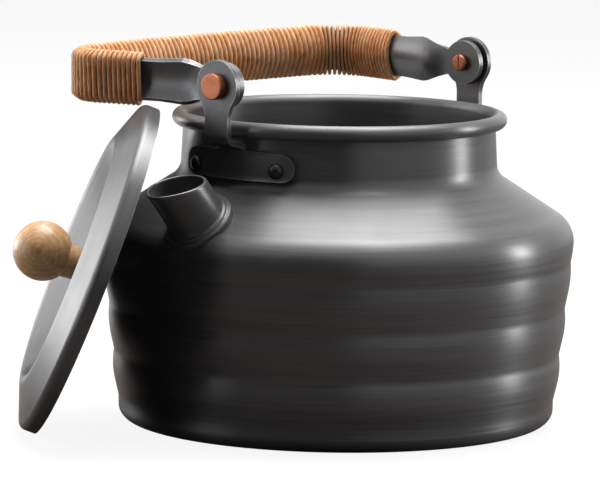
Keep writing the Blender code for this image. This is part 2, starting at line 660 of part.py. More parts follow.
def handle_frame(path, lengths, along):
    """A point on the strip's middle line and its heading, at a distance from the front eye."""
    x = float(np.interp(along, lengths, [point[0] for point in path]))
    y = float(np.interp(along, lengths, [point[1] for point in path]))
    turn = float(np.interp(along, lengths, [point[2] for point in path]))
    return x, y, turn


def strip_crown(across, end_distance):
    """How far the strip bulges inwards at a place across it, and the slope of its face there."""
    grown = min(max((end_distance - STRIP_NECK) / (STRIP_FLARE - STRIP_NECK), 0), 1)
    share = across / (STRIP_WIDTH / 2)
    bulge = STRIP_CROWN * grown
    return bulge * (1 - share ** 2), math.atan(2 * bulge * share / (STRIP_WIDTH / 2))


def make_handle(pivot):
    """The strip, cut flat with its two eyes, then bent to the hoop."""
    path = handle_path()
    lengths = path_lengths(path)
    total = lengths[-1]
    half = STRIP_WIDTH / 2
    notch = math.degrees(math.acos(STRIP_NECK / STRIP_EYE_RADIUS))
    eye = arc(0, 0, STRIP_EYE_RADIUS, 360 - notch, notch, 18)
    flare = half + STRIP_FLARE_LIP
    near = [(STRIP_FLARE + 10 * MM, half), (STRIP_FLARE, flare)] + eye[::-1]
    near += [(STRIP_FLARE, -flare), (STRIP_FLARE + 10 * MM, -half)]
    far = [(total - x, -y) for x, y in near]
    outline = near + far

    def place(along, across, depth):
        x, y, turn = handle_frame(path, lengths, along)
        end_distance = min(along, total - along)
        if end_distance < 0:
            y += end_distance
        crown, slope = strip_crown(across, end_distance)
        shift = (depth - STRIP_SHEET / 2) * math.cos(slope) - crown
        lean = (depth - STRIP_SHEET / 2) * math.sin(slope)
        return Vector((x - shift * math.cos(turn) - HANDLE_CENTRE_X, y + shift * math.sin(turn),
                       across - lean))

    ramp = [STRIP_NECK, (STRIP_NECK + STRIP_FLARE) / 2, STRIP_FLARE]
    ends = ramp + [total - value for value in ramp]
    shape = bend_flat(outline, ends + lengths[1:-1], CROWN_CUTS, STRIP_SHEET, place)
    handle = add_object("bail_handle", shape, "coated_steel", smooth_angle=50)
    handle.parent = pivot
    for name, eye_x in (("front_eye_cutter", FRONT_EYE_X), ("rear_eye_cutter", REAR_EYE_X)):
        middle = Vector((eye_x, 0, PIVOT_HEIGHT))
        reach = Vector((4 * MM, 0, 0))
        drill(name, handle, PIVOT_HOLE_RADIUS, middle - reach, middle + reach)
    return handle


def strip_section():
    """The crowned strip's cross-section, (across, depth outwards), from its outer side round."""
    half = STRIP_WIDTH / 2

    def corner(across, side):
        crown, slope = strip_crown(across, STRIP_FLARE)
        reach = side * STRIP_SHEET / 2
        return across - reach * math.sin(slope), reach * math.cos(slope) - crown

    inner = [corner(across, -1) for across in [half] + CROWN_CUTS[::-1] + [-half]]
    return [corner(-half, 1), corner(half, 1)] + inner


def wrap_section():
    """The cord's centre line round the strip for one turn: (across, depth, share of the turn)."""
    gap = CORD_DIAMETER / 2 + CLEARANCE
    corners = strip_section()
    points = []
    for i, here in enumerate(corners):
        before = corners[i - 1]
        after = corners[(i + 1) % len(corners)]
        facing = math.atan2(here[0] - before[0], before[1] - here[1])
        turn = (facing - math.atan2(after[0] - here[0], here[1] - after[1])) % (2 * math.pi)
        parts = 2 if turn > math.radians(60) else 1
        reach = gap / math.cos(turn / parts / 2)
        for k in range(parts):
            angle = facing - turn * (k + 0.5) / parts
            points.append((here[0] + reach * math.cos(angle), here[1] + reach * math.sin(angle)))
    lengths = path_lengths(points + points[:1])
    return [(across, depth, length / lengths[-1]) for (across, depth), length in zip(points, lengths)]


def wrap_points():
    """The winding's centre line: a flattened helix that follows the handle's strip."""
    path = handle_path()
    lengths = path_lengths(path)
    start = WRAP_START
    end = lengths[-1] - WRAP_START
    pitch = (end - start) / WRAP_TURNS
    section = wrap_section()
    stops = [(turn, *stop) for turn in range(WRAP_TURNS) for stop in section]
    # The last turn ends with one more run across the outer side, as the first one starts
    stops += [(WRAP_TURNS, *stop) for stop in section[:2]]
    points = []
    for turn, across, depth, share in stops:
        x, y, heading = handle_frame(path, lengths, start + (turn + share) * pitch)
        points.append(Vector((x - depth * math.cos(heading) - HANDLE_CENTRE_X,
                              y + depth * math.sin(heading), across)))
    return points


def least_gap_between_turns(points):
    """The least distance between the winding's turns, less the cord's diameter."""
    line = []
    for low, high in zip(points, points[1:]):
        for k in range(4):
            line.append(low.lerp(high, k / 4))
    line = np.array([tuple(point) for point in line])
    skip = 4 * 5
    least = 1.0
    for i in range(len(line) - skip):
        rest = line[i + skip:i + skip + 80]
        least = min(least, float(np.sqrt(((rest - line[i]) ** 2).sum(axis=1)).min()))
    return least - CORD_DIAMETER


def make_wrap(pivot):
    """One unbroken cord wound round the strip between the two bare ends."""
    points = wrap_points()
    curve = bpy.data.curves.new("handle_wrap", "CURVE")
    curve.dimensions = "3D"
    curve.bevel_depth = CORD_DIAMETER / 2
    curve.bevel_resolution = 1
    curve.use_fill_caps = True
    spline = curve.splines.new("POLY")
    spline.points.add(len(points) - 1)
    for slot, point in zip(spline.points, points):
        slot.co = (*point, 1)
    curve.materials.append(material("waxed_cord"))
    wrap = bpy.data.objects.new("handle_wrap", curve)
    bpy.context.scene.collection.objects.link(wrap)
    wrap.parent = pivot
    gap = least_gap_between_turns(points)
    print(f"handle_wrap: {WRAP_TURNS} turns, least gap between turns {gap / MM:.2f} mm",
          "over the limit" if gap > LEAST_TURN_GAP else "UNDER THE LIMIT")
    return wrap


# Lid and knob

def lid_outline():
    """The lid's sheet, (radius, height) from its middle out: dish, crest ring, edge and skirt."""
    top = [(SCREW_HOLE_RADIUS, -LID_DISH)]
    top += rounded([
        (0, -LID_DISH, 0),
        (LID_DISH_RADIUS, -LID_DISH, 3.0 * MM),
        (LID_CREST_RADIUS, 0, 2.5 * MM),
        (LID_RADIUS, 0, LID_EDGE + LID_SHEET / 2),
        (LID_RADIUS, -LID_SKIRT, 0),
    ], steps=2)[1:]
    under = offset(top, -LID_SHEET)
    under[-1] = (LID_RADIUS - LID_SHEET, -LID_SKIRT)
    return top + under[::-1]


def lid_lean():
    """The lean at which the lid's top edge stays below the folded handle, or the least lean."""
    top = PIVOT_HEIGHT - LID_TOP_BELOW_PIVOT - CLEARANCE
    across = math.hypot(2 * LID_RADIUS, LID_SKIRT)
    lean = math.atan2(LID_SKIRT, 2 * LID_RADIUS) + math.acos(min(1.0, top / across))
    return max(lean, LID_LEAST_LEAN)


def lid_frame():
    """The lid's place: its skirt on the floor, the back of its dish against the belly."""
    lean = lid_lean()
    heading = Vector((-math.cos(LID_TURN), math.sin(LID_TURN), 0))
    normal = heading * math.cos(lean) + Vector((0, 0, math.sin(lean)))
    sideways = Vector((heading.y, -heading.x, 0))
    height = CLEARANCE + LID_RADIUS * math.cos(lean) + LID_SKIRT * math.sin(lean)
    outline = lower_outline(rib_points=3, curve_points=3)
    belly = max(r * math.cos(lean) + z * math.sin(lean) for r, z in outline)
    dish_back = belly + CLEARANCE + LID_DISH + LID_SHEET
    distance = (dish_back - height * math.sin(lean)) / math.cos(lean)
    origin = heading * distance + sideways * LID_ALONG_BELLY + Vector((0, 0, height))
    return frame_along(origin, normal)


def make_lid(frame):
    """The dished lid."""
    return add_object("lid", turned(lid_outline(), LID_STEPS), "anodised_aluminium", frame)


def make_knob(frame):
    """The wooden ball, its short neck and thin foot, with a blind hole for the screw."""
    seat = -LID_DISH + CLEARANCE
    ball = seat + KNOB_RISE - CLEARANCE
    neck_meets = math.degrees(math.acos(KNOB_NECK_RADIUS / KNOB_BALL_RADIUS))
    outline = [(0, seat), (KNOB_FOOT_RADIUS, seat), (KNOB_FOOT_RADIUS, seat + KNOB_FOOT / 2),
               (KNOB_FOOT_RADIUS - 0.8 * MM, seat + KNOB_FOOT),
               (KNOB_NECK_RADIUS + 0.5 * MM, seat + 2.6 * KNOB_FOOT)]
    outline += arc(0, ball, KNOB_BALL_RADIUS, -neck_meets, 90, 8)[:-1]
    outline.append((0, ball + KNOB_BALL_RADIUS))
    knob = add_object("knob", turned(outline, 24), "beech", frame, smooth_angle=50)
    axis = frame.col[2].to_3d()
    drill("knob_hole_cutter", knob, SCREW_HOLE_RADIUS, frame @ Vector((0, 0, seat - 3 * MM)),
          frame @ Vector((0, 0, 0)) + axis * (screw_tip() + CLEARANCE), 14)
    return knob


def screw_tip():
    """Height of the screw's tip above the lid's crest ring."""
    return -LID_DISH - LID_SHEET - WASHER_SHEET - 2 * CLEARANCE + SCREW_LENGTH


def make_knob_fixing(frame):
    """The washer and the pan-head screw under the lid's dish."""
    lid_back = -LID_DISH - LID_SHEET
    washer_low = lid_back - CLEARANCE - WASHER_SHEET
    ring_object("knob_washer", WASHER_RADIUS, SCREW_HOLE_RADIUS, WASHER_SHEET,
                frame @ Matrix.Translation((0, 0, washer_low)), "steel", 18)
    under_head = washer_low - CLEARANCE
    outline = [(0, under_head - SCREW_HEAD), (SCREW_HEAD_RADIUS * 0.7, under_head - SCREW_HEAD),
               (SCREW_HEAD_RADIUS, under_head - SCREW_HEAD * 0.55), (SCREW_HEAD_RADIUS, under_head),
               (SCREW_RADIUS, under_head), (SCREW_RADIUS, screw_tip() - 1 * MM), (0, screw_tip())]
    add_object("knob_screw", turned(outline, 14), "steel", frame, smooth_angle=50)


def build():
    """Clears the scene and makes every piece."""
    for old in list(bpy.data.objects):
        bpy.data.objects.remove(old, do_unlink=True)
    make_body()
    make_spout()
    for end, ear_face_x in (("front", FRONT_EAR_FACE), ("rear", REAR_EAR_FACE)):
        make_bracket(f"{end}_bracket", ear_face_x)
        make_pivot_rivet(f"{end}_pivot_rivet", ear_face_x)
        make_friction_washer(f"{end}_pivot_washer", ear_face_x)
    for name, direction in foot_rivet_directions():
        make_foot_rivet(name, direction)
    pivot = bpy.data.objects.new("handle_pivot", None)
    pivot.location = (HANDLE_CENTRE_X, 0, PIVOT_HEIGHT)
    bpy.context.scene.collection.objects.link(pivot)
    bpy.context.view_layer.update()
    make_handle(pivot)
    make_wrap(pivot)
    frame = lid_frame()
    make_lid(frame)
    make_knob(frame)
    make_knob_fixing(frame)
    print("lid centre", [round(value / MM, 1) for value in frame.translation],
          "normal", [round(value, 4) for value in frame.col[2][:3]],
          "lean", round(math.degrees(lid_lean()), 3))


build()
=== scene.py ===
# %% [markdown]
# # A camp kettle with a cord-wrapped handle
#
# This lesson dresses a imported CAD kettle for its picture. The CAD model gives every piece its place
# and its size. Here each piece is made again with finer curves and rounded edges, gets a material
# with real detail, and is told which moving body carries it.

# %% Load the frame
import json
import math
import random

import bmesh
import bpy
import numpy as np
from mathutils import Matrix, Vector

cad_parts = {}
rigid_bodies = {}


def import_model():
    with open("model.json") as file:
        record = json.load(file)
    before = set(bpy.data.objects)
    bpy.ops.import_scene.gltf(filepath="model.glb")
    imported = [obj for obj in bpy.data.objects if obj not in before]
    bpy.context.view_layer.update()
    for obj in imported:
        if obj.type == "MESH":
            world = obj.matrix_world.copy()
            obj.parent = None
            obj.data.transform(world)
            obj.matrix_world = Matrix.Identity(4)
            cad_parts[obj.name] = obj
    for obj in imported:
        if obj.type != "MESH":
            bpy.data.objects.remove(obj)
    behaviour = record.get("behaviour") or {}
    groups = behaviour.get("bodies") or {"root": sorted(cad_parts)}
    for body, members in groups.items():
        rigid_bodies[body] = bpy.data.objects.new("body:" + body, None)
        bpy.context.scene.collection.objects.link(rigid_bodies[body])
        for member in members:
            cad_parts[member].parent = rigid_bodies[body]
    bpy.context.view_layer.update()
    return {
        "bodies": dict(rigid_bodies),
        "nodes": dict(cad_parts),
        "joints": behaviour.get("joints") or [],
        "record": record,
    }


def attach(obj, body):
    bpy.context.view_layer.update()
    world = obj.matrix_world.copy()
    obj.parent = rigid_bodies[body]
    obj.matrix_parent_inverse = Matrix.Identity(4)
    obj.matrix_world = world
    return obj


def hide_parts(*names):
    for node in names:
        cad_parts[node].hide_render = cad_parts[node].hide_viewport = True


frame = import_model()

MM = 0.001
scene = bpy.context.scene
scene.view_settings.view_transform = "Standard"

# %% [markdown]
# ## Camera
#
# The picture was taken from 1.5 m away and 15 cm above the rim, with a long lens. A long lens keeps
# the ellipses of the mouth and the lid flat. The kettle is turned 50 degrees to the camera, so the
# places of lamps and cards are easiest to say in the camera's own directions: right, away and up.

# %% Camera
VIEW_TURN = math.radians(50)
CAMERA_DISTANCE = 1.5
CAMERA_HEIGHT = 0.2534
YAW, PITCH, ROLL = -0.0082, 0.1294, -0.0132
SENSOR_WIDTH = 36.0
FOCAL_LENGTH = 279.36
CLIP_START = 0.05


def from_view(right, away, up):
    """A point or direction said as right, away from the camera and up, in the kettle's frame."""
    c, s = math.cos(VIEW_TURN), math.sin(VIEW_TURN)
    return Vector((right * c + away * s, -right * s + away * c, up))


forward = Vector((math.sin(YAW) * math.cos(PITCH), math.cos(YAW) * math.cos(PITCH),
                  -math.sin(PITCH)))
level = Vector((math.cos(YAW), -math.sin(YAW), 0))
down = forward.cross(level)
right = level * math.cos(ROLL) + down * math.sin(ROLL)
down = down * math.cos(ROLL) - level * math.sin(ROLL)
axes = [from_view(*axis) for axis in (right, -down, -forward)]
camera_data = bpy.data.cameras.new("camera")
camera_data.sensor_width = SENSOR_WIDTH
camera_data.lens = FOCAL_LENGTH
camera_data.clip_start = CLIP_START
camera = bpy.data.objects.new("camera", camera_data)
camera.matrix_world = Matrix(axes).transposed().to_4x4()
camera.matrix_world.translation = from_view(0, -CAMERA_DISTANCE, CAMERA_HEIGHT)
scene.collection.objects.link(camera)
scene.camera = camera
print("camera at", [round(v, 4) for v in camera.matrix_world.translation])

# %% [markdown]
# ## Writing shaders in code
#
# A node's inputs can take a number, a colour or another node's output, so one helper that accepts
# all three keeps the materials short enough to read. The others stand for nodes that are used often.

# %% Shader helpers
WHITE = (1, 1, 1)


def feed(tree, socket, value):
    """Links an output to an input, or sets the input to a number, a vector or a colour."""
    if isinstance(value, bpy.types.NodeSocket):
        tree.links.new(value, socket)
    else:
        socket.default_value = (*value, 1) if socket.type == "RGBA" else value


def add(tree, kind, values=None, **settings):
    """A node of one kind with its settings, and with values fed to inputs by name or number."""
    node = tree.nodes.new(kind)
    for key, value in settings.items():
        setattr(node, key, value)
    for key, value in (values or {}).items():
        feed(tree, node.inputs[key], value)
    return node


def maths(tree, operation, a, b=0.0):
    """The result of a sum of two numbers or outputs."""
    return add(tree, "ShaderNodeMath", {0: a, 1: b}, operation=operation).outputs[0]


def vector_maths(tree, operation, a, b=(0, 0, 0)):
    """The result of a sum of two vectors: a number for a length or a dot product."""
    node = add(tree, "ShaderNodeVectorMath", {0: a, 1: b}, operation=operation)
    return node.outputs["Value" if operation in ("LENGTH", "DOT_PRODUCT") else "Vector"]


def split(tree, vector):
    """The X, Y and Z of a vector, by letter."""
    return add(tree, "ShaderNodeSeparateXYZ", {0: vector}).outputs


def join(tree, x, y, z=0.0):
    """A vector of three numbers or outputs."""
    return add(tree, "ShaderNodeCombineXYZ", {"X": x, "Y": y, "Z": z}).outputs[0]


def remap(tree, value, low, high, to_low, to_high):
    """A value moved from one range to another, and kept inside it."""
    limits = {"Value": value, "From Min": low, "From Max": high, "To Min": to_low, "To Max": to_high}
    return add(tree, "ShaderNodeMapRange", limits).outputs["Result"]


def object_place(tree):
    """Where a point lies in its object's own frame."""
    return add(tree, "ShaderNodeTexCoord").outputs["Object"]


def noise(tree, values, dimensions="3D"):
    """The grey of a noise texture."""
    return add(tree, "ShaderNodeTexNoise", values, noise_dimensions=dimensions).outputs["Fac"]


def bump(tree, height, strength, distance):
    """A bump normal from a height output."""
    values = {"Height": height, "Strength": strength, "Distance": distance}
    return add(tree, "ShaderNodeBump", values).outputs["Normal"]


def blend(tree, share, first, second):
    """A colour between two. The colours of a Mix node are its inputs 6 and 7 and its output 2."""
    values = {"Factor": share, 6: first, 7: second}
    return add(tree, "ShaderNodeMix", values, data_type="RGBA").outputs[2]


def lay_over(tree, colour, mask, share, second):
    """A colour with a second one over it, up to a share where a mask is 1."""
    return blend(tree, maths(tree, "MULTIPLY", mask, share), colour, second)


# %% Materials and node groups
def new_material(name):
    """An empty material: (material, its node tree, its Principled shader)."""
    made = bpy.data.materials.new(name)
    made.use_nodes = True
    return made, made.node_tree, made.node_tree.nodes["Principled BSDF"]


def set_shader(tree, shader, **values):
    """Feeds the shader's inputs, with underscores for the spaces in their names."""
    for name, value in values.items():
        feed(tree, shader.inputs[name.replace("_", " ")], value)


def new_matt(name):
    """A material with no gloss: (material, its node tree, its Principled shader)."""
    made, tree, shader = new_material(name)
    set_shader(tree, shader, Roughness=0.9, Specular_IOR_Level=0.0)
    return made, tree, shader


def new_group(name, inputs, outputs):
    """A node group with named inputs and number outputs: (group, its inputs, its output node)."""
    tree = bpy.data.node_groups.new(name, "ShaderNodeTree")
    for label, value in inputs.items():
        kind = "NodeSocketVector" if value is None else "NodeSocketFloat"
        socket = tree.interface.new_socket(label, in_out="INPUT", socket_type=kind)
        if value is not None:
            socket.default_value = value
    for label in outputs:
        tree.interface.new_socket(label, in_out="OUTPUT", socket_type="NodeSocketFloat")
    return tree, add(tree, "NodeGroupInput").outputs, add(tree, "NodeGroupOutput")


def use_group(tree, group, values):
    """The outputs of a node group placed in a material with its own values."""
    return add(tree, "ShaderNodeGroup", values, node_tree=group).outputs


# %% [markdown]
# ## Floor and background
#
# The picture has a pure white background. The world and the floor show white to the camera and in
# reflections, and a softer grey as the light that falls on the pieces. A share of the floor is an
# ordinary lit surface, and it keeps the kettle's soft shadow.

# %% Floor and background
FLOOR_SIZE = 3.0
FLOOR_LIT_SHARE = 0.10
FLOOR_BOUNCE = 0.06
WORLD_FILL = 0.09


def seen_as_background(tree):
    """1 for what the camera, a reflection or glass sees, 0 for light that falls on a surface."""
    path = add(tree, "ShaderNodeLightPath").outputs
    seen = maths(tree, "MAXIMUM", path["Is Camera Ray"], path["Is Glossy Ray"])
    return maths(tree, "MAXIMUM", seen, path["Is Transmission Ray"])


def mix_shaders(tree, share, first, second):
    """A shader between those of two nodes."""
    values = {0: share, 1: first.outputs[0], 2: second.outputs[0]}
    return add(tree, "ShaderNodeMixShader", values).outputs[0]


def add_sheet(name, width, depth, matrix, shader_material):
    """A flat rectangle of the stage."""
    mesh = bpy.data.meshes.new(name)
    x, y = width / 2, depth / 2
    mesh.from_pydata([(-x, -y, 0), (x, -y, 0), (x, y, 0), (-x, y, 0)], [], [(0, 1, 2, 3)])
    mesh.materials.append(shader_material)
    made = bpy.data.objects.new(name, mesh)
    made.matrix_world = matrix
    scene.collection.objects.link(made)
    return made


world = bpy.data.worlds.new("white_studio")
world.use_nodes = True
scene.world = world
tree = world.node_tree
tree.nodes.clear()
white = add(tree, "ShaderNodeBackground", {"Color": WHITE, "Strength": 1.0})
fill = add(tree, "ShaderNodeBackground", {"Color": WHITE, "Strength": WORLD_FILL})
mixed = mix_shaders(tree, seen_as_background(tree), fill, white)
add(tree, "ShaderNodeOutputWorld", {"Surface": mixed})

floor_material, tree, shader = new_matt("white_floor")
seen = seen_as_background(tree)
set_shader(tree, shader, Base_Color=blend(tree, seen, (FLOOR_BOUNCE,) * 3, WHITE))
glow = add(tree, "ShaderNodeEmission", {"Color": WHITE, "Strength": 1.0})
mixed = mix_shaders(tree, maths(tree, "MULTIPLY", seen, 1 - FLOOR_LIT_SHARE), shader, glow)
feed(tree, tree.nodes["Material Output"].inputs["Surface"], mixed)
add_sheet("floor", FLOOR_SIZE, FLOOR_SIZE, Matrix.Identity(4), floor_material)
print("floor", FLOOR_SIZE, "m across")

# %% [markdown]
# ## Studio
#
# Dark metal shows what stands round it more than its own colour. A wide softbox overhead lights the
# shoulder and the top of the wrap, a narrow one at the right draws the upright streak, and a broad
# one at the left, a little behind, fills the face of the lid, with a low one under it for the lid's
# lower half. A weak one at the front left lights the bracket and the copper head. As in a real
# studio, dark cards that the camera doesn't see stand in front and at the back left and lie on the
# table, so that the metal stays dark between the highlights.

# %% Lamps
AIM = from_view(0, 0, 0.07)
SOFTBOXES = {
    "top_softbox": ((0.10, 0.22, 1.15), 0.85, 0.8, 12.6),
    "right_strip": ((1.15, 0.17, 0.16), 0.17, 0.75, 24.0),
    "left_softbox": ((-1.14, 0.49, 0.42), 0.85, 0.7, 3.5),
    "low_left_softbox": ((-1.02, 0.80, 0.18), 0.60, 0.36, 6.5),
    "front_left_softbox": ((-1.28, -0.42, 0.30), 0.55, 0.7, 2.3),
}


def facing(origin):
    """A matrix at a point whose -Z looks at the middle of the kettle."""
    matrix = (AIM - origin).to_track_quat("-Z", "Y").to_matrix().to_4x4()
    matrix.translation = origin
    return matrix


def add_softbox(name, origin, width, height, radiance):
    """A rectangular lamp that looks at the kettle. Its radiance is per unit of its own area."""
    lamp = bpy.data.lights.new(name, "AREA")
    lamp.shape = "RECTANGLE"
    lamp.size, lamp.size_y = width, height
    lamp.energy = radiance * math.pi * width * height
    made = bpy.data.objects.new(name, lamp)
    made.matrix_world = facing(origin)
    scene.collection.objects.link(made)


for name, (place, width, height, radiance) in SOFTBOXES.items():
    add_softbox(name, from_view(*place), width, height, radiance)
print("softboxes:", len(SOFTBOXES))

# %% Cards
CARD_GAP = 0.2 * MM
STANDING_CARDS = {
    "front_card": ((-0.75, -1.75, 0.5), 2.6, 1.6, (0.05, 0.05, 0.05)),
    "back_left_card": ((-0.36, 1.35, 0.25), 0.5, 0.9, (0.02, 0.02, 0.02)),
}
TABLE_CARDS = {
    "right_table_card": ((0.62, 0.48, 2 * CARD_GAP), 0.9, 1.2, (0.16, 0.15, 0.145)),
    "table_card": ((0.10, -1.055, CARD_GAP), 3.0, 1.9, (0.155, 0.130, 0.118)),
}


def add_card(name, width, depth, matrix, colour):
    """A card that only reflections see."""
    card_material, tree, shader = new_matt(name)
    set_shader(tree, shader, Base_Color=colour)
    card = add_sheet(name, width, depth, matrix, card_material)
    card.visible_camera = card.visible_diffuse = card.visible_shadow = card.visible_transmission = False


for name, (place, width, depth, colour) in STANDING_CARDS.items():
    add_card(name, width, depth, facing(from_view(*place)), colour)
for name, (place, width, depth, colour) in TABLE_CARDS.items():
    add_card(name, width, depth, Matrix.Translation(from_view(*place)), colour)
print("cards:", len(STANDING_CARDS) + len(TABLE_CARDS))

# %% [markdown]
# ## Detail shared by several finishes
#
# Lathe lines run round a turned piece, so their noise is read from the distance to the axis and the
# height, and hardly from the angle. Worn edges are found by comparing the surface's normal with the
# normal of a slightly rounded copy. Grain is noise stretched along one direction.

# %% Shared node groups
def turned_lines_group():
    """Fine and broad lathe lines round the object's own Z axis, each from 0 to 1."""
    group, given, out = new_group("turned_lines", {"Lines per mm": 2.0}, ["Fine", "Broad"])
    place = split(group, object_place(group))
    flat = join(group, place["X"], place["Y"])
    radius = vector_maths(group, "LENGTH", flat)
    turn = split(group, vector_maths(group, "NORMALIZE", flat))
    per_metre = maths(group, "MULTIPLY", given["Lines per mm"], 1 / MM)
    for label, share, wander in (("Fine", 1.0, 1.4), ("Broad", 0.16, 0.8)):
        rate = maths(group, "MULTIPLY", per_metre, share)
        point = join(group, maths(group, "MULTIPLY", radius, rate),
                     maths(group, "MULTIPLY", turn["X"], wander),
                     maths(group, "MULTIPLY", turn["Y"], wander))
        lines = noise(group, {"Vector": point, "W": maths(group, "MULTIPLY", place["Z"], rate),
                              "Scale": 1.0, "Detail": 3.0, "Roughness": 0.65}, "4D")
        feed(group, out.inputs[label], remap(group, lines, 0.3, 0.7, 0, 1))
    return group


def edge_wear_group():
    """A mask of worn edges, broken up by noise."""
    group, given, out = new_group("edge_wear", {"Width": 0.0005, "Spots per m": 900.0}, ["Mask"])
    softened = add(group, "ShaderNodeBevel", {"Radius": given["Width"]}, samples=6).outputs[0]
    true = add(group, "ShaderNodeNewGeometry").outputs["Normal"]
    edge = remap(group, vector_maths(group, "DOT_PRODUCT", softened, true), 0.985, 0.86, 0, 1)
    spots = noise(group, {"Vector": object_place(group), "Scale": given["Spots per m"],
                          "Detail": 4.0, "Roughness": 0.6})
    broken = remap(group, spots, 0.34, 0.62, 0.25, 1)
    feed(group, out.inputs["Mask"], maths(group, "MULTIPLY", edge, broken))
    return group


def smudges_group():
    """Soft handling marks and fine specks, each from 0 to 1."""
    group, given, out = new_group("smudges", {"Scale": 45.0}, ["Mask", "Specks"])
    point = object_place(group)
    marks = noise(group, {"Vector": point, "Scale": given["Scale"], "Detail": 5.0,
                          "Roughness": 0.55, "Distortion": 0.6})
    feed(group, out.inputs["Mask"], remap(group, marks, 0.35, 0.7, 0, 1))
    specks = noise(group, {"Vector": point, "Scale": 2600.0, "Detail": 2.0})
    feed(group, out.inputs["Specks"], remap(group, specks, 0.3, 0.75, 0, 1))
    return group


def grain_group():
    """Noise stretched along X of a given vector."""
    group, given, out = new_group("grain", {"Vector": None, "Along": 60.0, "Across": 1500.0}, ["Grain"])
    axis = split(group, given["Vector"])
    point = join(group, *(maths(group, "MULTIPLY", axis[letter], given[rate])
                          for letter, rate in (("X", "Along"), ("Y", "Across"), ("Z", "Across"))))
    grain = noise(group, {"Vector": point, "Scale": 1.0, "Detail": 3.0, "Roughness": 0.6})
    feed(group, out.inputs["Grain"], remap(group, grain, 0.3, 0.7, 0, 1))
    return group


TURNED_LINES = turned_lines_group()
EDGE_WEAR = edge_wear_group()
SMUDGES = smudges_group()
GRAIN = grain_group()
print("node groups:", [group.name for group in bpy.data.node_groups])

# %% [markdown]
# ## Hard-anodised aluminium
#
# The body, the spout and the lid are spun on a lathe, rubbed with abrasive while they turn, and then
# hard-anodised to a dark grey. The lines stay under the coating, so a highlight is drawn out across
# them: upright on the wall, and straight out from the middle on the lid. Anisotropy with a tangent
# that runs round the axis does the same, and the noise of the lines breaks it up.

# %% Anodised material
ANODISED_DARK = (0.080, 0.080, 0.082)
ANODISED_LIGHT = (0.142, 0.142, 0.145)
ANODISED_WORN = (0.42, 0.42, 0.43)
ANODISED_ROUGHNESS, ROUGHNESS_SPREAD = 0.36, 0.05
FINE_SHARE, BROAD_SHARE = 0.55, 0.45
QUARTER_TURN = 0.25


def anodised(name, lines_per_mm, anisotropy):
    """Dark anodised metal with lathe lines round the object's Z axis."""
    made, tree, shader = new_material(name)
    lines = use_group(tree, TURNED_LINES, {"Lines per mm": lines_per_mm})
    marks = use_group(tree, SMUDGES, {"Scale": 38.0})
    worn = use_group(tree, EDGE_WEAR, {"Width": 0.0004})["Mask"]
    both = maths(tree, "ADD", maths(tree, "MULTIPLY", lines["Fine"], FINE_SHARE),
                 maths(tree, "MULTIPLY", lines["Broad"], BROAD_SHARE))
    colour = lay_over(tree, blend(tree, both, ANODISED_DARK, ANODISED_LIGHT), worn, 0.8, ANODISED_WORN)
    rough = remap(tree, lines["Fine"], 0, 1, ANODISED_ROUGHNESS - ROUGHNESS_SPREAD,
                  ANODISED_ROUGHNESS + ROUGHNESS_SPREAD)
    rough = maths(tree, "ADD", rough, maths(tree, "MULTIPLY", marks["Mask"], 0.05))
    round_axis = add(tree, "ShaderNodeTangent", direction_type="RADIAL", axis="Z").outputs[0]
    set_shader(tree, shader, Base_Color=colour, Roughness=rough, Metallic=0.45, Tangent=round_axis,
               Normal=bump(tree, lines["Fine"], 0.10, 0.00006), Anisotropic=anisotropy,
               Anisotropic_Rotation=QUARTER_TURN)
    return made


SPUN = anodised("spun_body_metal", 1.7, 0.72)
SPUN_LID = anodised("spun_lid_metal", 1.6, 0.65)
SPUN_SPOUT = anodised("turned_spout_metal", 3.0, 0.45)
print("anodised metals:", [made.name for made in (SPUN, SPUN_LID, SPUN_SPOUT)])

# %% [markdown]
# ## Coated steel, rivets and washers
#
# The brackets and the strip are stamped sheet with a satin dark coating. The coat wears through to
# a paler grey on the cut edges, and a very fine texture keeps the flats from looking like glass.
# The copper rivets were set with a hammer, so their heads carry fine scratches one way and a
# brighter rim.

# %% Steel and washer materials
def coated(name, dark, light, worn_colour, roughness, metallic):
    """A satin coating with specks, handling marks and worn edges."""
    made, tree, shader = new_material(name)
    marks = use_group(tree, SMUDGES, {"Scale": 70.0})
    worn = use_group(tree, EDGE_WEAR, {"Width": 0.0006})["Mask"]
    colour = lay_over(tree, blend(tree, marks["Specks"], dark, light), worn, 0.85, worn_colour)
    rough = remap(tree, marks["Mask"], 0, 1, roughness - 0.05, roughness + 0.06)
    set_shader(tree, shader, Base_Color=colour, Roughness=rough, Metallic=metallic,
               Normal=bump(tree, marks["Specks"], 0.16, 0.00005))
    return made


STEEL_COAT = coated("coated_steel_finish", (0.098, 0.099, 0.103), (0.135, 0.136, 0.141),
                    (0.42, 0.42, 0.43), 0.40, 0.75)
RIVET_COAT = coated("black_rivet_finish", (0.022, 0.022, 0.024), (0.040, 0.040, 0.043),
                    (0.16, 0.16, 0.165), 0.33, 0.75)
WASHER_FIBRE = coated("fibre_washer_finish", (0.012, 0.012, 0.013), (0.024, 0.024, 0.024),
                      (0.05, 0.05, 0.05), 0.75, 0.0)
PLAIN_STEEL = coated("plain_steel_finish", (0.46, 0.46, 0.47), (0.60, 0.60, 0.61),
                     (0.80, 0.80, 0.80), 0.32, 1.0)

# %% Copper material
COPPER_DARK, COPPER_LIGHT = (0.26, 0.088, 0.042), (0.42, 0.172, 0.095)
COPPER_TARNISH, COPPER_RIM = (0.27, 0.09, 0.045), (0.80, 0.45, 0.30)


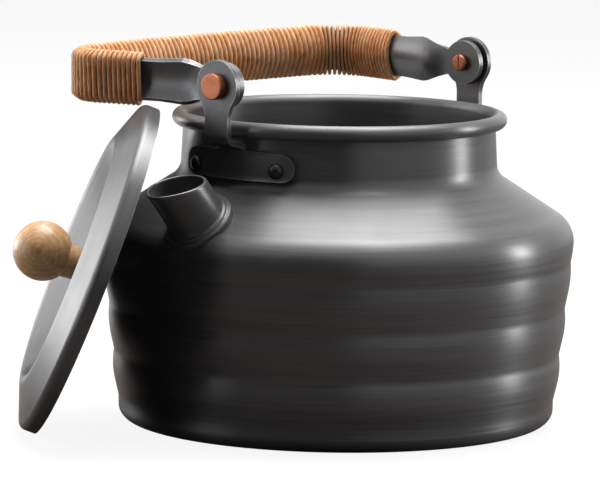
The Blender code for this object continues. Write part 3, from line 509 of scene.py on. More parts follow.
def copper_finish():
    """Brushed copper with scratches along one direction and a bright rim."""
    made, tree, shader = new_material("brushed_copper")
    scratches = {"Vector": object_place(tree), "Along": 250.0, "Across": 5200.0}
    grain = use_group(tree, GRAIN, scratches)["Grain"]
    marks = use_group(tree, SMUDGES, {"Scale": 420.0})["Mask"]
    worn = use_group(tree, EDGE_WEAR, {"Width": 0.0004, "Spots per m": 2500.0})["Mask"]
    colour = lay_over(tree, blend(tree, grain, COPPER_DARK, COPPER_LIGHT), marks, 0.45, COPPER_TARNISH)
    colour = lay_over(tree, colour, worn, 0.5, COPPER_RIM)
    set_shader(tree, shader, Base_Color=colour, Roughness=remap(tree, grain, 0, 1, 0.34, 0.5),
               Metallic=0.95, Normal=bump(tree, grain, 0.25, 0.00005))
    return made


COPPER = copper_finish()
print("sheet and rivet finishes:", len((STEEL_COAT, RIVET_COAT, WASHER_FIBRE, PLAIN_STEEL, COPPER)))

# %% [markdown]
# ## Wood
#
# The knob is a ball of pale wood, cut so that its fibres point at the camera: the growth rings close
# round a small spot of end grain. The rings are a sine of the distance from the middle, bent by
# noise, and the fibres are grain along one direction.

# %% Wood material
FIBRE_DIRECTION = from_view(-0.10, -1.0, 0.10).normalized()
RING_RATE, RING_WARP = 4200.0, 22.0
HEART_RADIUS = 1.7 * MM
WOOD_PALE, WOOD_WARM = (0.84, 0.55, 0.29), (0.64, 0.33, 0.13)
WOOD_RING, WOOD_HEART = (0.34, 0.145, 0.045), (0.30, 0.115, 0.035)


def beech_finish(fibre, middle):
    """Turned wood whose fibres run along a direction of the object, with rings round a middle."""
    made, tree, shader = new_material("turned_beech")
    second = fibre.orthogonal().normalized()
    place = vector_maths(tree, "SUBTRACT", object_place(tree), tuple(middle))
    along, side, other = (vector_maths(tree, "DOT_PRODUCT", place, tuple(axis))
                          for axis in (fibre, second, fibre.cross(second)))
    grain_space = join(tree, along, side, other)
    fibres = use_group(tree, GRAIN, {"Vector": grain_space, "Along": 130.0, "Across": 1900.0})["Grain"]
    streaks = use_group(tree, GRAIN, {"Vector": grain_space, "Along": 30.0, "Across": 520.0})["Grain"]
    warp = noise(tree, {"Vector": grain_space, "Scale": 95.0, "Detail": 3.0})
    distance = vector_maths(tree, "LENGTH", join(tree, side, other))
    phase = maths(tree, "ADD", maths(tree, "MULTIPLY", distance, RING_RATE),
                  maths(tree, "MULTIPLY", warp, RING_WARP))
    ring = remap(tree, maths(tree, "SINE", phase), -1, 1, 0, 1)
    colour = lay_over(tree, blend(tree, streaks, WOOD_PALE, WOOD_WARM), ring, 0.28, WOOD_RING)
    colour = lay_over(tree, colour, fibres, 0.42, WOOD_RING)
    colour = blend(tree, remap(tree, distance, 0.0, HEART_RADIUS, 0.6, 0), colour, WOOD_HEART)
    set_shader(tree, shader, Base_Color=colour, Roughness=remap(tree, fibres, 0, 1, 0.38, 0.5),
               Normal=bump(tree, fibres, 0.12, 0.00006), Coat_Weight=0.2, Coat_Roughness=0.3)
    return made


# %% [markdown]
# ## Cord
#
# The cord of the wrap is waxed. Its fibres run along it with a slight twist, single fibres stand
# paler or darker, and pale patches lie on it, partly its waxed coating and partly a painted sheen.
# The noise is read on a thin cylinder that is rolled up from the cord's UV, so it has no seam.

# %% Cord material
# The palest cord colour is partly the waxed coating and partly a painted sheen.
CORD_DARK, CORD_PALE, CORD_WAX_AND_SHEEN = (0.32, 0.098, 0.028), (1.0, 0.47, 0.165), (0.98, 0.70, 0.46)
TWISTS_PER_METRE = 90.0
FIBRE_CIRCLE = 0.001


def cord_finish():
    """Waxed cord: fibres along it with a twist, from the length and the turn kept as UV."""
    made, tree, shader = new_material("waxed_cord_fibres")
    place = split(tree, add(tree, "ShaderNodeUVMap").outputs[0])
    twist = maths(tree, "ADD", place["Y"], maths(tree, "MULTIPLY", place["X"], TWISTS_PER_METRE))
    turn = maths(tree, "MULTIPLY", twist, 2 * math.pi)
    point = join(tree, place["X"], maths(tree, "MULTIPLY", maths(tree, "COSINE", turn), FIBRE_CIRCLE),
                 maths(tree, "MULTIPLY", maths(tree, "SINE", turn), FIBRE_CIRCLE))
    fibres = use_group(tree, GRAIN, {"Vector": point, "Along": 260.0, "Across": 2600.0})["Grain"]
    # Pale patches: partly the waxed coating, partly a painted sheen laid over the cord's colour.
    wax_and_sheen = use_group(tree, SMUDGES, {"Scale": 160.0})["Mask"]
    colour = lay_over(tree, blend(tree, fibres, CORD_DARK, CORD_PALE), wax_and_sheen, 0.45, CORD_WAX_AND_SHEEN)
    set_shader(tree, shader, Base_Color=colour, Roughness=remap(tree, fibres, 0, 1, 0.36, 0.55),
               Normal=bump(tree, fibres, 0.7, 0.00014), Sheen_Weight=0.15, Sheen_Roughness=0.3,
               Specular_IOR_Level=0.4)
    return made


CORD = cord_finish()
print("cord finish:", CORD.name)

# %% [markdown]
# ## Outlines and turned shapes
#
# Most of the kettle was made on a lathe, so most of it starts as an outline of (radius, height)
# points that is turned about Z. Corners in an outline are rounded by a real radius, because real
# edges always catch a line of light.

# %% Shape helpers
CLEARANCE = 0.3 * MM
SLIVER = 0.006 * MM
ON_AXIS = 1e-7
TURNED_SHARP, CUT_SHARP = 45, 40


def arc(centre_x, centre_y, radius, start, end, steps):
    """Points on an arc, from the start to the end angle in degrees."""
    angles = [math.radians(start + (end - start) * i / steps) for i in range(steps + 1)]
    return [(centre_x + radius * math.cos(a), centre_y + radius * math.sin(a)) for a in angles]


def rounded(corners, steps):
    """A closed outline through corners (x, y, radius), with each corner rounded."""
    points = []
    for i, (x, y, radius) in enumerate(corners):
        here = Vector((x, y))
        if radius == 0:
            points.append((x, y))
            continue
        back = (Vector(corners[i - 1][:2]) - here).normalized()
        ahead = (Vector(corners[(i + 1) % len(corners)][:2]) - here).normalized()
        half = back.angle(ahead) / 2
        centre = here + (back + ahead).normalized() * radius / math.sin(half)
        start = here + back * radius / math.tan(half) - centre
        end = here + ahead * radius / math.tan(half) - centre
        sweep = start.angle_signed(end)
        for k in range(steps + 1):
            points.append(tuple(centre + Matrix.Rotation(-sweep * k / steps, 2) @ start))
    return points


def offset(points, distance):
    """An open outline moved sideways, to the left of its direction."""
    moved = []
    for i, point in enumerate(points):
        here = Vector(point)
        before, after = Vector(points[max(i - 1, 0)]), Vector(points[min(i + 1, len(points) - 1)])
        into = (here - before).normalized() if i > 0 else (after - here).normalized()
        out = (after - here).normalized() if i < len(points) - 1 else into
        left_in, left_out = Vector((-into.y, into.x)), Vector((-out.y, out.x))
        mitre = (left_in + left_out).normalized()
        moved.append(tuple(here + mitre * distance / mitre.dot(left_in)))
    return moved


def path_lengths(points):
    """Distance along a path at each of its points."""
    lengths = [0.0]
    for low, high in zip(points, points[1:]):
        lengths.append(lengths[-1] + math.dist(low[:2], high[:2]))
    return lengths


def finish_object(name, mesh, finish, matrix, sharp):
    """An object of a mesh, shaded smooth up to an angle in degrees."""
    mesh.shade_smooth()
    mesh.set_sharp_from_angle(angle=math.radians(sharp))
    mesh.materials.append(finish)
    made = bpy.data.objects.new(name, mesh)
    made.matrix_world = matrix
    scene.collection.objects.link(made)
    return made


def turned(name, outline, steps, finish, matrix=Matrix.Identity(4)):
    """A piece turned about its own Z from a closed outline, or one that meets the axis twice."""
    vertices, rings, faces = [], [], []
    for radius, height in outline:
        if radius < ON_AXIS:
            rings.append([len(vertices)] * steps)
            vertices.append((0, 0, height))
            continue
        rings.append(list(range(len(vertices), len(vertices) + steps)))
        for k in range(steps):
            a = 2 * math.pi * k / steps
            vertices.append((radius * math.cos(a), radius * math.sin(a), height))
    pairs = list(zip(rings, rings[1:]))
    if outline[0][0] > ON_AXIS:
        pairs.append((rings[-1], rings[0]))
    for low, high in pairs:
        for k in range(steps):
            n = (k + 1) % steps
            faces.append(tuple(dict.fromkeys((low[k], low[n], high[n], high[k]))))
    mesh = bpy.data.meshes.new(name)
    mesh.from_pydata(vertices, [], faces)
    shape = bmesh.new()
    shape.from_mesh(mesh)
    bmesh.ops.recalc_face_normals(shape, faces=shape.faces)
    shape.to_mesh(mesh)
    shape.free()
    return finish_object(name, mesh, finish, matrix, TURNED_SHARP)


print("clearance mm", CLEARANCE / MM)


# %% Cutting and keeping
def frame_along(origin, direction):
    """A frame at a point whose +Z runs along a direction."""
    return Matrix.Translation(origin) @ direction.to_track_quat("Z", "Y").to_matrix().to_4x4()


def cut_away(target, cutters):
    """Cuts other objects out of one, applies the cut and removes the cutters."""
    for cutter in cutters:
        modifier = target.modifiers.new("cut", "BOOLEAN")
        modifier.operation = "DIFFERENCE"
        modifier.solver = "EXACT"
        modifier.object = cutter
    bpy.context.view_layer.update()
    evaluated = target.evaluated_get(bpy.context.evaluated_depsgraph_get())
    mesh = bpy.data.meshes.new_from_object(evaluated)
    cleaned = bmesh.new()
    cleaned.from_mesh(mesh)
    bmesh.ops.dissolve_degenerate(cleaned, edges=cleaned.edges, dist=SLIVER)
    cleaned.to_mesh(mesh)
    cleaned.free()
    target.modifiers.clear()
    target.data = mesh
    for cutter in cutters:
        bpy.data.objects.remove(cutter)
    mesh.shade_smooth()
    mesh.set_sharp_from_angle(angle=math.radians(CUT_SHARP))


def rod(radius, start, end, steps=40):
    """A plain rod used as a cutter between two points."""
    outline = [(0, 0), (radius, 0), (radius, (end - start).length), (0, (end - start).length)]
    return turned("cutter", outline, steps, STEEL_COAT, frame_along(start, end - start))


def box(size, matrix):
    """A plain box used as a cutter, with its size along its own axes."""
    shape = bmesh.new()
    bmesh.ops.create_cube(shape, size=1, matrix=Matrix.Diagonal((*size, 1)))
    mesh = bpy.data.meshes.new("cutter")
    shape.to_mesh(mesh)
    shape.free()
    return finish_object("cutter", mesh, STEEL_COAT, matrix, sharp=30)


PIECES = []


def keep(piece, node, body):
    """Hides the CAD node that a piece stands for, and hangs the piece on the body that carries it."""
    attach(piece, body)
    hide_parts(node)
    PIECES.append(piece.name)
    return piece


# %% [markdown]
# ## Body
#
# A spinner presses a flat disc over a form, so the wall is one shell: base, ribbed wall, rounded
# belly, sloping shoulder and neck. The ribs are shallow swells that meet in soft creases, and the
# mouth ends in a rolled bead that stiffens it. The outline follows the CAD sizes, with many more
# points.

# %% Body outline
WALL = 1.4 * MM
BELLY_RADIUS = 76.5 * MM
BASE_RADIUS = 70.8 * MM
BASE_CORNER = 4.6 * MM
FIRST_CREASE = 7.3 * MM
RIB_PITCH = 15.2 * MM
RIB_SWELLS = (0.88 * MM, 0.76 * MM, 0.60 * MM)
LAST_CREASE_RADIUS = 75.7 * MM
LAST_CREASE = FIRST_CREASE + len(RIB_SWELLS) * RIB_PITCH
BELLY_RISE = 6.6 * MM
BELLY_HEIGHT = LAST_CREASE + BELLY_RISE
SHOULDER_CORNER = 9.5 * MM
SLOPE = math.radians(33)
SLOPE_RUN, SLOPE_CLIMB = math.cos(SLOPE), math.sin(SLOPE)
SHOULDER_X = BELLY_RADIUS - SHOULDER_CORNER * (1 - SLOPE_CLIMB)
SHOULDER_Z = BELLY_HEIGHT + SHOULDER_CORNER * SLOPE_RUN
NECK_RADIUS = 51.2 * MM
NECK_FILLET = 6.5 * MM
FILLET_X = NECK_RADIUS + NECK_FILLET
NECK_FOOT = SHOULDER_Z + (NECK_FILLET - (FILLET_X - SHOULDER_X) * SLOPE_CLIMB) / SLOPE_RUN
NECK_RISE = 13.8 * MM
BEAD_HEIGHT = NECK_FOOT + NECK_RISE
BEAD_RADIUS = 2.5 * MM
BEAD_INSET = 0.6 * MM
BEAD_X = NECK_RADIUS - WALL + BEAD_RADIUS - BEAD_INSET


def body_outline(per_rib, per_curve):
    """The outer outline from the middle of the base to the foot of the neck."""
    points = [(0, 0), (BASE_RADIUS * 0.5, 0)]
    points += arc(BASE_RADIUS - BASE_CORNER, BASE_CORNER, BASE_CORNER, -90, 0, per_curve)
    widening = (LAST_CREASE_RADIUS - BASE_RADIUS) / len(RIB_SWELLS)
    for rib, swell in enumerate(RIB_SWELLS):
        for i in range(per_rib):
            part = i / per_rib
            bulge = swell * math.sin(math.pi * part ** 1.25)
            points.append((BASE_RADIUS + (rib + part) * widening + bulge,
                           FIRST_CREASE + (rib + part) * RIB_PITCH))
    for i in range(per_curve):
        part = i / per_curve
        gain = (BELLY_RADIUS - LAST_CREASE_RADIUS) * math.sin(part * math.pi / 2)
        points.append((LAST_CREASE_RADIUS + gain, LAST_CREASE + part * BELLY_RISE))
    slope = math.degrees(SLOPE)
    shoulder_middle = BELLY_RADIUS - SHOULDER_CORNER
    points += arc(shoulder_middle, BELLY_HEIGHT, SHOULDER_CORNER, 0, 90 - slope, per_curve)
    points += arc(FILLET_X, NECK_FOOT, NECK_FILLET, 270 - slope, 180, per_curve)
    return points


def body_radius(height):
    """Outer radius between the shoulder and the bead."""
    if height >= NECK_FOOT:
        return NECK_RADIUS - BEAD_INSET * (height - NECK_FOOT) / NECK_RISE
    return FILLET_X - math.sqrt(NECK_FILLET ** 2 - (NECK_FOOT - height) ** 2)


OUTSIDE = body_outline(per_rib=18, per_curve=12)
print("outline points:", len(OUTSIDE), "neck foot at mm", round(NECK_FOOT / MM, 2))

# %% Places of the spout and the foot rivets
SPOUT_UP_SHOULDER = 4.86 * MM
SPOUT_STAND_OFF = 1.29 * MM
SPOUT_RISE = math.radians(49)
SPOUT_TAIL_RADIUS = 8.9 * MM
SPOUT_SEAT = Vector((SPOUT_UP_SHOULDER * SLOPE_RUN - SPOUT_STAND_OFF * SLOPE_CLIMB - SHOULDER_X, 0,
                     SHOULDER_Z + SPOUT_UP_SHOULDER * SLOPE_CLIMB + SPOUT_STAND_OFF * SLOPE_RUN))
SPOUT_AXIS = Vector((-math.cos(SPOUT_RISE), 0, math.sin(SPOUT_RISE)))
FOOT_RIVET_HEIGHT = NECK_FOOT + 1.5 * MM
RIVET_LEVEL = Vector((0, 0, FOOT_RIVET_HEIGHT))
BRACKET_SHEET = 1.8 * MM
RIVET_ARC = 16.8 * MM
RIVET_ANGLE = RIVET_ARC / (NECK_RADIUS + CLEARANCE + BRACKET_SHEET)
RIVET_SHANK = 1.5 * MM


def foot_rivets():
    """Name and outward direction of each foot rivet."""
    for side, end in ((-1, "front"), (1, "rear")):
        for hand, across in (("left", -1), ("right", 1)):
            direction = Vector((side * math.cos(RIVET_ANGLE), across * math.sin(RIVET_ANGLE), 0))
            yield f"{end}_foot_rivet_{hand}", direction


print("spout seat at mm", [round(v / MM, 1) for v in SPOUT_SEAT])

# %% Body shell
def make_body():
    """The spun shell, with holes for the spout and the foot rivets."""
    inside = offset(body_outline(per_rib=10, per_curve=10), WALL)
    inside[0] = (0, WALL)
    meets_neck = 180 + math.degrees(math.acos(1 - WALL / BEAD_RADIUS))
    bead = arc(BEAD_X, BEAD_HEIGHT, BEAD_RADIUS, meets_neck, 180 + 360, 30)
    body = turned("kettle_body_fine", OUTSIDE + bead + inside[::-1], 192, SPUN)
    reach = SPOUT_AXIS * 9 * MM
    cutters = [rod(SPOUT_TAIL_RADIUS + CLEARANCE, SPOUT_SEAT - reach, SPOUT_SEAT + reach, steps=64)]
    for _, direction in foot_rivets():
        cutters.append(rod(RIVET_SHANK + CLEARANCE, RIVET_LEVEL + direction * (NECK_RADIUS - 5 * MM),
                           RIVET_LEVEL + direction * (NECK_RADIUS + 5 * MM), steps=24))
    cut_away(body, cutters)
    return keep(body, "kettle_body", "kettle")


body = make_body()
print("body:", len(body.data.polygons), "faces")

# %% [markdown]
# ## Spout
#
# The spout is a short tube on a stepped flange, swaged through the shoulder. Its mouth is cut nearly
# level and pulled into a small pouring lip at the front. Its rings are lofted one by one: each ring
# has a radius, a height along the tube, and a share by which it follows the slant of the mouth. The
# rings that touch the shoulder are dropped along the tube's axis until they reach it.

# %% Spout sizes
TUBE_RADIUS = 9.3 * MM
MOUTH_RADIUS = 9.1 * MM
BORE_RADIUS = 8.1 * MM
SPOUT_LENGTH = 15.2 * MM
MOUTH_SLANT = math.radians(26.6)
MOUTH_WALL = 0.96 * MM
SPOUT_LIP = 1.3 * MM
FLANGE_RADIUS = 11.6 * MM
STEP_RADIUS = 10.2 * MM
FLANGE_STEP = 0.9 * MM
COLLAR_RADIUS = 10.4 * MM
COLLAR_SHEET = 1.2 * MM
FLANGE_EDGE = 0.35 * MM
FLANGE_SINK = 0.06 * MM
STEP_EDGE = 0.15 * MM
TUBE_FILLET = 0.6 * MM
MOUTH_LAND = 1.0 * MM
TUBE_ROWS, BORE_ROWS = 14, 12
SPOUT_STEPS = 96
SLANT_BELOW_MOUTH, SLANT_GAIN = 0.95, 1.2
print("spout bore mm", round(2 * BORE_RADIUS / MM, 1), "length mm", round(SPOUT_LENGTH / MM, 1))

# %% Reaching the shoulder
LOWEST_DROP, HIGHEST_DROP = -16 * MM, 4 * MM
HALVINGS = 28

shell_line = np.array([point for point in OUTSIDE if point[1] > BELLY_HEIGHT * 0.7])


def depth_in_shell(point):
    """How deep a point lies under the body's outer surface; negative outside it."""
    here = np.array((math.hypot(point.x, point.y), point.z))
    start, step = shell_line[:-1], np.diff(shell_line, axis=0)
    share = np.clip(((here - start) * step).sum(1) / (step ** 2).sum(1), 0, 1)
    near = start + share[:, None] * step
    gap = np.sqrt(((here - near) ** 2).sum(1))
    nearest = int(gap.argmin())
    side = step[nearest][0] * (here - near[nearest])[1] - step[nearest][1] * (here - near[nearest])[0]
    return float(gap[nearest]) * (1 if side > 0 else -1)


def drop_to(frame, across, sideways, wanted):
    """Height along the tube at which a point reaches a depth under the body's surface."""
    low, high = LOWEST_DROP, HIGHEST_DROP
    for _ in range(HALVINGS):
        middle = (low + high) / 2
        if depth_in_shell(frame @ Vector((across, sideways, middle))) > wanted:
            low = middle
        else:
            high = middle
    return (low + high) / 2


# %% Spout
def spout_rings():
    """The tube's rings, from the flange up and back down the bore: (kind, radius, height, follow)."""

    def level(points, follow=0):
        """Rings at given (radius, height) points that all follow the slant alike."""
        return [("ring", x, z, follow) for x, z in points]

    def slanting(part):
        """The share of the mouth's slant at a part of the tube's length."""
        return SLANT_BELOW_MOUTH * part ** SLANT_GAIN

    edge, lip = FLANGE_EDGE, MOUTH_WALL / 2
    rings = [("drop", FLANGE_RADIUS - 0.1 * MM, FLANGE_SINK, 0), ("drop", FLANGE_RADIUS, 0.0, 0)]
    rings += level(arc(FLANGE_RADIUS - edge, -edge, edge, 0, 90, 4))
    rings += level([(STEP_RADIUS + STEP_EDGE, 0), (STEP_RADIUS, STEP_EDGE)])
    rings += level(arc(STEP_RADIUS - edge, FLANGE_STEP - edge, edge, 0, 90, 4))
    rings += level(arc(TUBE_RADIUS + TUBE_FILLET, FLANGE_STEP + TUBE_FILLET, TUBE_FILLET, 270, 180, 4))
    run = SPOUT_LENGTH - FLANGE_STEP - MOUTH_LAND
    for i in range(1, TUBE_ROWS):
        part = i / TUBE_ROWS
        radius = TUBE_RADIUS - (TUBE_RADIUS - MOUTH_RADIUS) * part
        rings.append(("ring", radius, FLANGE_STEP + TUBE_FILLET + run * part, slanting(part)))
    rings += level(arc(MOUTH_RADIUS - lip, SPOUT_LENGTH - lip, lip, 0, 180, 8), follow=1)
    for i in range(1, BORE_ROWS):
        part = 1 - i / BORE_ROWS
        radius = BORE_RADIUS + (MOUTH_RADIUS - MOUTH_WALL - BORE_RADIUS) * part
        rings.append(("ring", radius, FLANGE_STEP + run * part, slanting(part)))
    face = WALL + CLEARANCE
    for radius, depth in ((BORE_RADIUS, face + COLLAR_SHEET), (COLLAR_RADIUS, face + COLLAR_SHEET),
                          (COLLAR_RADIUS, face), (SPOUT_TAIL_RADIUS, face),
                          (SPOUT_TAIL_RADIUS, FLANGE_SINK)):
        rings.append(("drop", radius, depth, 0))
    return rings


def make_spout():
    """The lofted tube with its flange, tail and inner collar."""
    upward = Vector((math.sin(SPOUT_RISE), 0, math.cos(SPOUT_RISE)))
    frame = Matrix((upward, SPOUT_AXIS.cross(upward), SPOUT_AXIS)).transposed().to_4x4()
    frame.translation = SPOUT_SEAT
    rings = spout_rings()
    vertices, faces = [], []
    for kind, radius, height, follow in rings:
        for k in range(SPOUT_STEPS):
            a = 2 * math.pi * k / SPOUT_STEPS
            reach = radius + SPOUT_LIP * follow ** 3 * max(0.0, -math.cos(a)) ** 6
            across, sideways = reach * math.cos(a), reach * math.sin(a)
            if kind == "drop":
                z = drop_to(frame, across, sideways, height)
            else:
                z = height - across * math.tan(MOUTH_SLANT) * follow
            vertices.append((across, sideways, z))
    count = len(rings)
    for ring in range(count):
        low, high = ring * SPOUT_STEPS, (ring + 1) % count * SPOUT_STEPS
        for k in range(SPOUT_STEPS):
            n = (k + 1) % SPOUT_STEPS
            faces.append((low + k, low + n, high + n, high + k))
    mesh = bpy.data.meshes.new("spout_fine")
    mesh.from_pydata(vertices, [], faces)
    spout = finish_object("spout_fine", mesh, SPUN_SPOUT, frame, sharp=50)
    return keep(spout, "spout", "kettle")


spout = make_spout()
print("spout:", len(spout.data.polygons), "faces")

# %% [markdown]
# ## Sheet parts
#
# A bracket and the handle's strip are cut flat and then bent. The code does the same: it cuts a flat
# outline into narrow strips, gives it its thickness, and sends every corner through a function that
# says where the bend puts it. A bevel then rounds the cut edges, which catch a bright line.

# %% Sheet helpers
EDGE_ROUND = 0.28 * MM
CUT_MERGE = 1e-7


def bend_flat(name, outline, cuts_across, cuts_along, sheet, place, finish):
    """A flat outline cut into strips, thickened and bent by a function of (x, y, depth)."""
    flat = bmesh.new()
    flat.faces.new([flat.verts.new((x, y, 0)) for x, y in outline])
    for cuts, normal in ((cuts_across, (1, 0, 0)), (cuts_along, (0, 1, 0))):
        for value in cuts:
            everything = flat.verts[:] + flat.edges[:] + flat.faces[:]
            bmesh.ops.bisect_plane(flat, geom=everything, dist=CUT_MERGE,
                                   plane_co=Vector(normal) * value, plane_no=normal)
    extruded = bmesh.ops.extrude_face_region(flat, geom=flat.faces[:], use_keep_orig=True)
    for corner in extruded["geom"]:
        if isinstance(corner, bmesh.types.BMVert):
            corner.co.z = sheet
    for corner in flat.verts:
        corner.co = place(*corner.co)
    bmesh.ops.recalc_face_normals(flat, faces=flat.faces)
    mesh = bpy.data.meshes.new(name)
    flat.to_mesh(mesh)
    flat.free()
    return finish_object(name, mesh, finish, Matrix.Identity(4), CUT_SHARP)


def round_edges(piece):
    """Rounds the sharp edges of a sheet part and keeps its flats flat."""
    bevel = piece.modifiers.new("rounded edges", "BEVEL")
    bevel.width = EDGE_ROUND
    bevel.segments = 2
    bevel.limit_method = "ANGLE"
    bevel.angle_limit = math.radians(45)
    bevel.harden_normals = True
    bevel.use_clamp_overlap = True


# %% [markdown]
# ## Brackets
#
# Each bracket wraps its foot round the neck, steps out under the bead, and ends in a round ear that
# stands square to the handle's hinge. The front ear stands 8 mm closer to the body than the rear one.

# %% Bracket sizes
FOOT_BOTTOM = NECK_FOOT - 2.6 * MM
FOOT_TOP = BEAD_HEIGHT - 6.2 * MM
FOOT_TIP = BEAD_HEIGHT - 7.8 * MM
LEG_BEND = BEAD_HEIGHT - 7.0 * MM
FOOT_HALF_WIDTH = 22.2 * MM
FOOT_SHOULDER = 12.0 * MM
FOOT_CORNER = 4.3 * MM
LEG_WIDTH = 9.5 * MM
LEG_ANGLE = math.radians(78)
BEND_OUT, BEND_UP = 3.2 * MM, 1.6 * MM
EAR_RADIUS = 8.3 * MM
EAR_FILLET = 9.0 * MM
PIVOT_HEIGHT = BEAD_HEIGHT + 14.0 * MM
EAR_FACES = {"front": -NECK_RADIUS - 9.1 * MM, "rear": NECK_RADIUS + 17.1 * MM}
PIVOT_SHANK = 2.0 * MM
BEND_ROWS = 9


def on_hinge(x):
    """A point on the line that the handle turns about."""
    return Vector((x, 0, PIVOT_HEIGHT))


print("hinge line at height mm", round(PIVOT_HEIGHT / MM, 2))

# %% Bracket outline
def bracket_path(ear_face):
    """The inner face from the foot up to the ear: (reach, height, tilt) points."""
    points = []
    step = 0.05 * MM
    for i in range(BEND_ROWS + 1):
        height = FOOT_BOTTOM + (LEG_BEND - FOOT_BOTTOM) * i / BEND_ROWS
        tilt = math.atan2(body_radius(height + step) - body_radius(height - step), 2 * step)
        points.append((body_radius(height) + CLEARANCE, height, tilt))
    reach, height, tilt = points[-1]
    for i in range(1, BEND_ROWS + 1):
        turn = tilt + (LEG_ANGLE - tilt) * i / BEND_ROWS
        points.append((reach + BEND_OUT * (math.cos(tilt) - math.cos(turn)),
                       height + BEND_OUT * (math.sin(turn) - math.sin(tilt)), turn))
    reach, height, _ = points[-1]
    inner_face = abs(ear_face) - BRACKET_SHEET
    run = (inner_face - BEND_UP * (1 - math.cos(LEG_ANGLE)) - reach) / math.sin(LEG_ANGLE)
    reach, height = reach + run * math.sin(LEG_ANGLE), height + run * math.cos(LEG_ANGLE)
    for i in range(BEND_ROWS + 1):
        turn = LEG_ANGLE * (1 - i / BEND_ROWS)
        points.append((reach + BEND_UP * (math.cos(turn) - math.cos(LEG_ANGLE)),
                       height + BEND_UP * (math.sin(LEG_ANGLE) - math.sin(turn)), turn))
    points.append((inner_face, PIVOT_HEIGHT + EAR_RADIUS, 0))
    return points


def bracket_outline(path, lengths):
    """The flat outline, x across and y along the sheet."""
    heights = [point[1] for point in path]
    foot_top = float(np.interp(FOOT_TOP, heights, lengths))
    tip_top = float(np.interp(FOOT_TIP, heights, lengths))
    ear_y = lengths[-1] - EAR_RADIUS
    half = LEG_WIDTH / 2
    foot = rounded([(0, 0, 0), (FOOT_HALF_WIDTH, 0, FOOT_CORNER),
                    (FOOT_HALF_WIDTH, tip_top, FOOT_CORNER), (FOOT_SHOULDER, foot_top, FOOT_CORNER),
                    (half, foot_top, LEG_WIDTH / 4), (half, ear_y, 0)], steps=9)[1:-1]
    fillet_x = half + EAR_FILLET
    spread = math.degrees(math.acos(fillet_x / (EAR_RADIUS + EAR_FILLET)))
    fillet_y = ear_y - (EAR_RADIUS + EAR_FILLET) * math.sin(math.radians(spread))
    right = foot + arc(fillet_x, fillet_y, EAR_FILLET, 180, 180 - spread, 9)
    right += arc(0, ear_y, EAR_RADIUS, -spread, 90, 26)[1:]
    return right + [(-x, y) for x, y in right[:-1]][::-1]


# %% Brackets
FOOT_COLUMNS = 27


def make_bracket(end):
    """One bracket, bent and drilled for its pivot and foot rivets."""
    path = bracket_path(EAR_FACES[end])
    lengths = path_lengths(path)
    side = math.copysign(1, EAR_FACES[end])
    bend_start = float(np.interp(LEG_BEND, [point[1] for point in path], lengths))
    columns = list(zip(*path))

    def place(across, along, depth):
        """Where the bends put a point of the flat sheet: less and less curved above the foot."""
        reach, height, tilt = (float(np.interp(along, lengths, column)) for column in columns)
        wrapped = 1 - min(max((along - bend_start) / (BEND_OUT * 2), 0), 0.98)
        curve = reach / wrapped
        angle = across / curve
        forward = reach - curve * (1 - math.cos(angle)) + depth * math.cos(tilt) * math.cos(angle)
        sideways = (curve + depth * math.cos(tilt)) * math.sin(angle)
        return Vector((side * forward, side * sideways, height - depth * math.sin(tilt)))

    across = [FOOT_HALF_WIDTH * (2 * i / FOOT_COLUMNS - 1) for i in range(1, FOOT_COLUMNS)]
    bracket = bend_flat(f"{end}_bracket_fine", bracket_outline(path, lengths), across, lengths[1:-1],
                        BRACKET_SHEET, place, STEEL_COAT)
    pivot, reach = on_hinge(EAR_FACES[end]), Vector((5 * MM, 0, 0))
    cutters = [rod(PIVOT_SHANK + CLEARANCE, pivot - reach, pivot + reach)]
    for _, direction in foot_rivets():
        if direction.x * side > 0:
            cutters.append(rod(RIVET_SHANK + CLEARANCE, RIVET_LEVEL + direction * (NECK_RADIUS - 4 * MM),
                               RIVET_LEVEL + direction * (NECK_RADIUS + 6 * MM), steps=28))
    cut_away(bracket, cutters)
    round_edges(bracket)
    return keep(bracket, f"{end}_bracket", "kettle")


for end in EAR_FACES:
    bracket = make_bracket(end)
    print(bracket.name, len(bracket.data.polygons), "faces")

# %% [markdown]
# ## Rivets and washers
#
# Four domed rivets hold the feet. The pivots are copper: a flat head outside the ear, a shank
# through ear, washer and eye, and a tail that was split and hammered over on the inside.

# %% Foot rivets
RIVET_HEAD_RADIUS, RIVET_HEAD = 2.45 * MM, 1.5 * MM
RIVET_TAIL_RADIUS, RIVET_TAIL = 2.3 * MM, 0.9 * MM
RIVET_TAIL_EDGE, RIVET_HEAD_LAND = 0.4 * MM, 0.05 * MM


def make_foot_rivet(name, direction):
    """A domed rivet with a flattened tail inside the neck."""
    wall = body_radius(FOOT_RIVET_HEIGHT)
    seat = wall + 2 * CLEARANCE + BRACKET_SHEET
    sag = wall - math.sqrt(wall ** 2 - RIVET_TAIL_RADIUS ** 2)
    tail = wall - WALL - CLEARANCE - sag
    edge = RIVET_TAIL_EDGE
    outline = [(0, tail - RIVET_TAIL)]
    outline += arc(RIVET_TAIL_RADIUS - edge, tail - RIVET_TAIL + edge, edge, -90, 0, 5)
    outline += [(RIVET_TAIL_RADIUS, tail), (RIVET_SHANK, tail), (RIVET_SHANK, seat)]
    outline.append((RIVET_HEAD_RADIUS - RIVET_HEAD_LAND, seat))
    for angle in range(3, 90, 8):
        a = math.radians(angle)
        outline.append((RIVET_HEAD_RADIUS * math.cos(a), seat + RIVET_HEAD * math.sin(a)))
    outline.append((0, seat + RIVET_HEAD))
    rivet = turned(f"{name}_fine", outline, 40, RIVET_COAT, frame_along(RIVET_LEVEL, direction))
    keep(rivet, name, "kettle")


for name, direction in foot_rivets():
    make_foot_rivet(name, direction)
print("rivet height mm", round(FOOT_RIVET_HEIGHT / MM, 2))

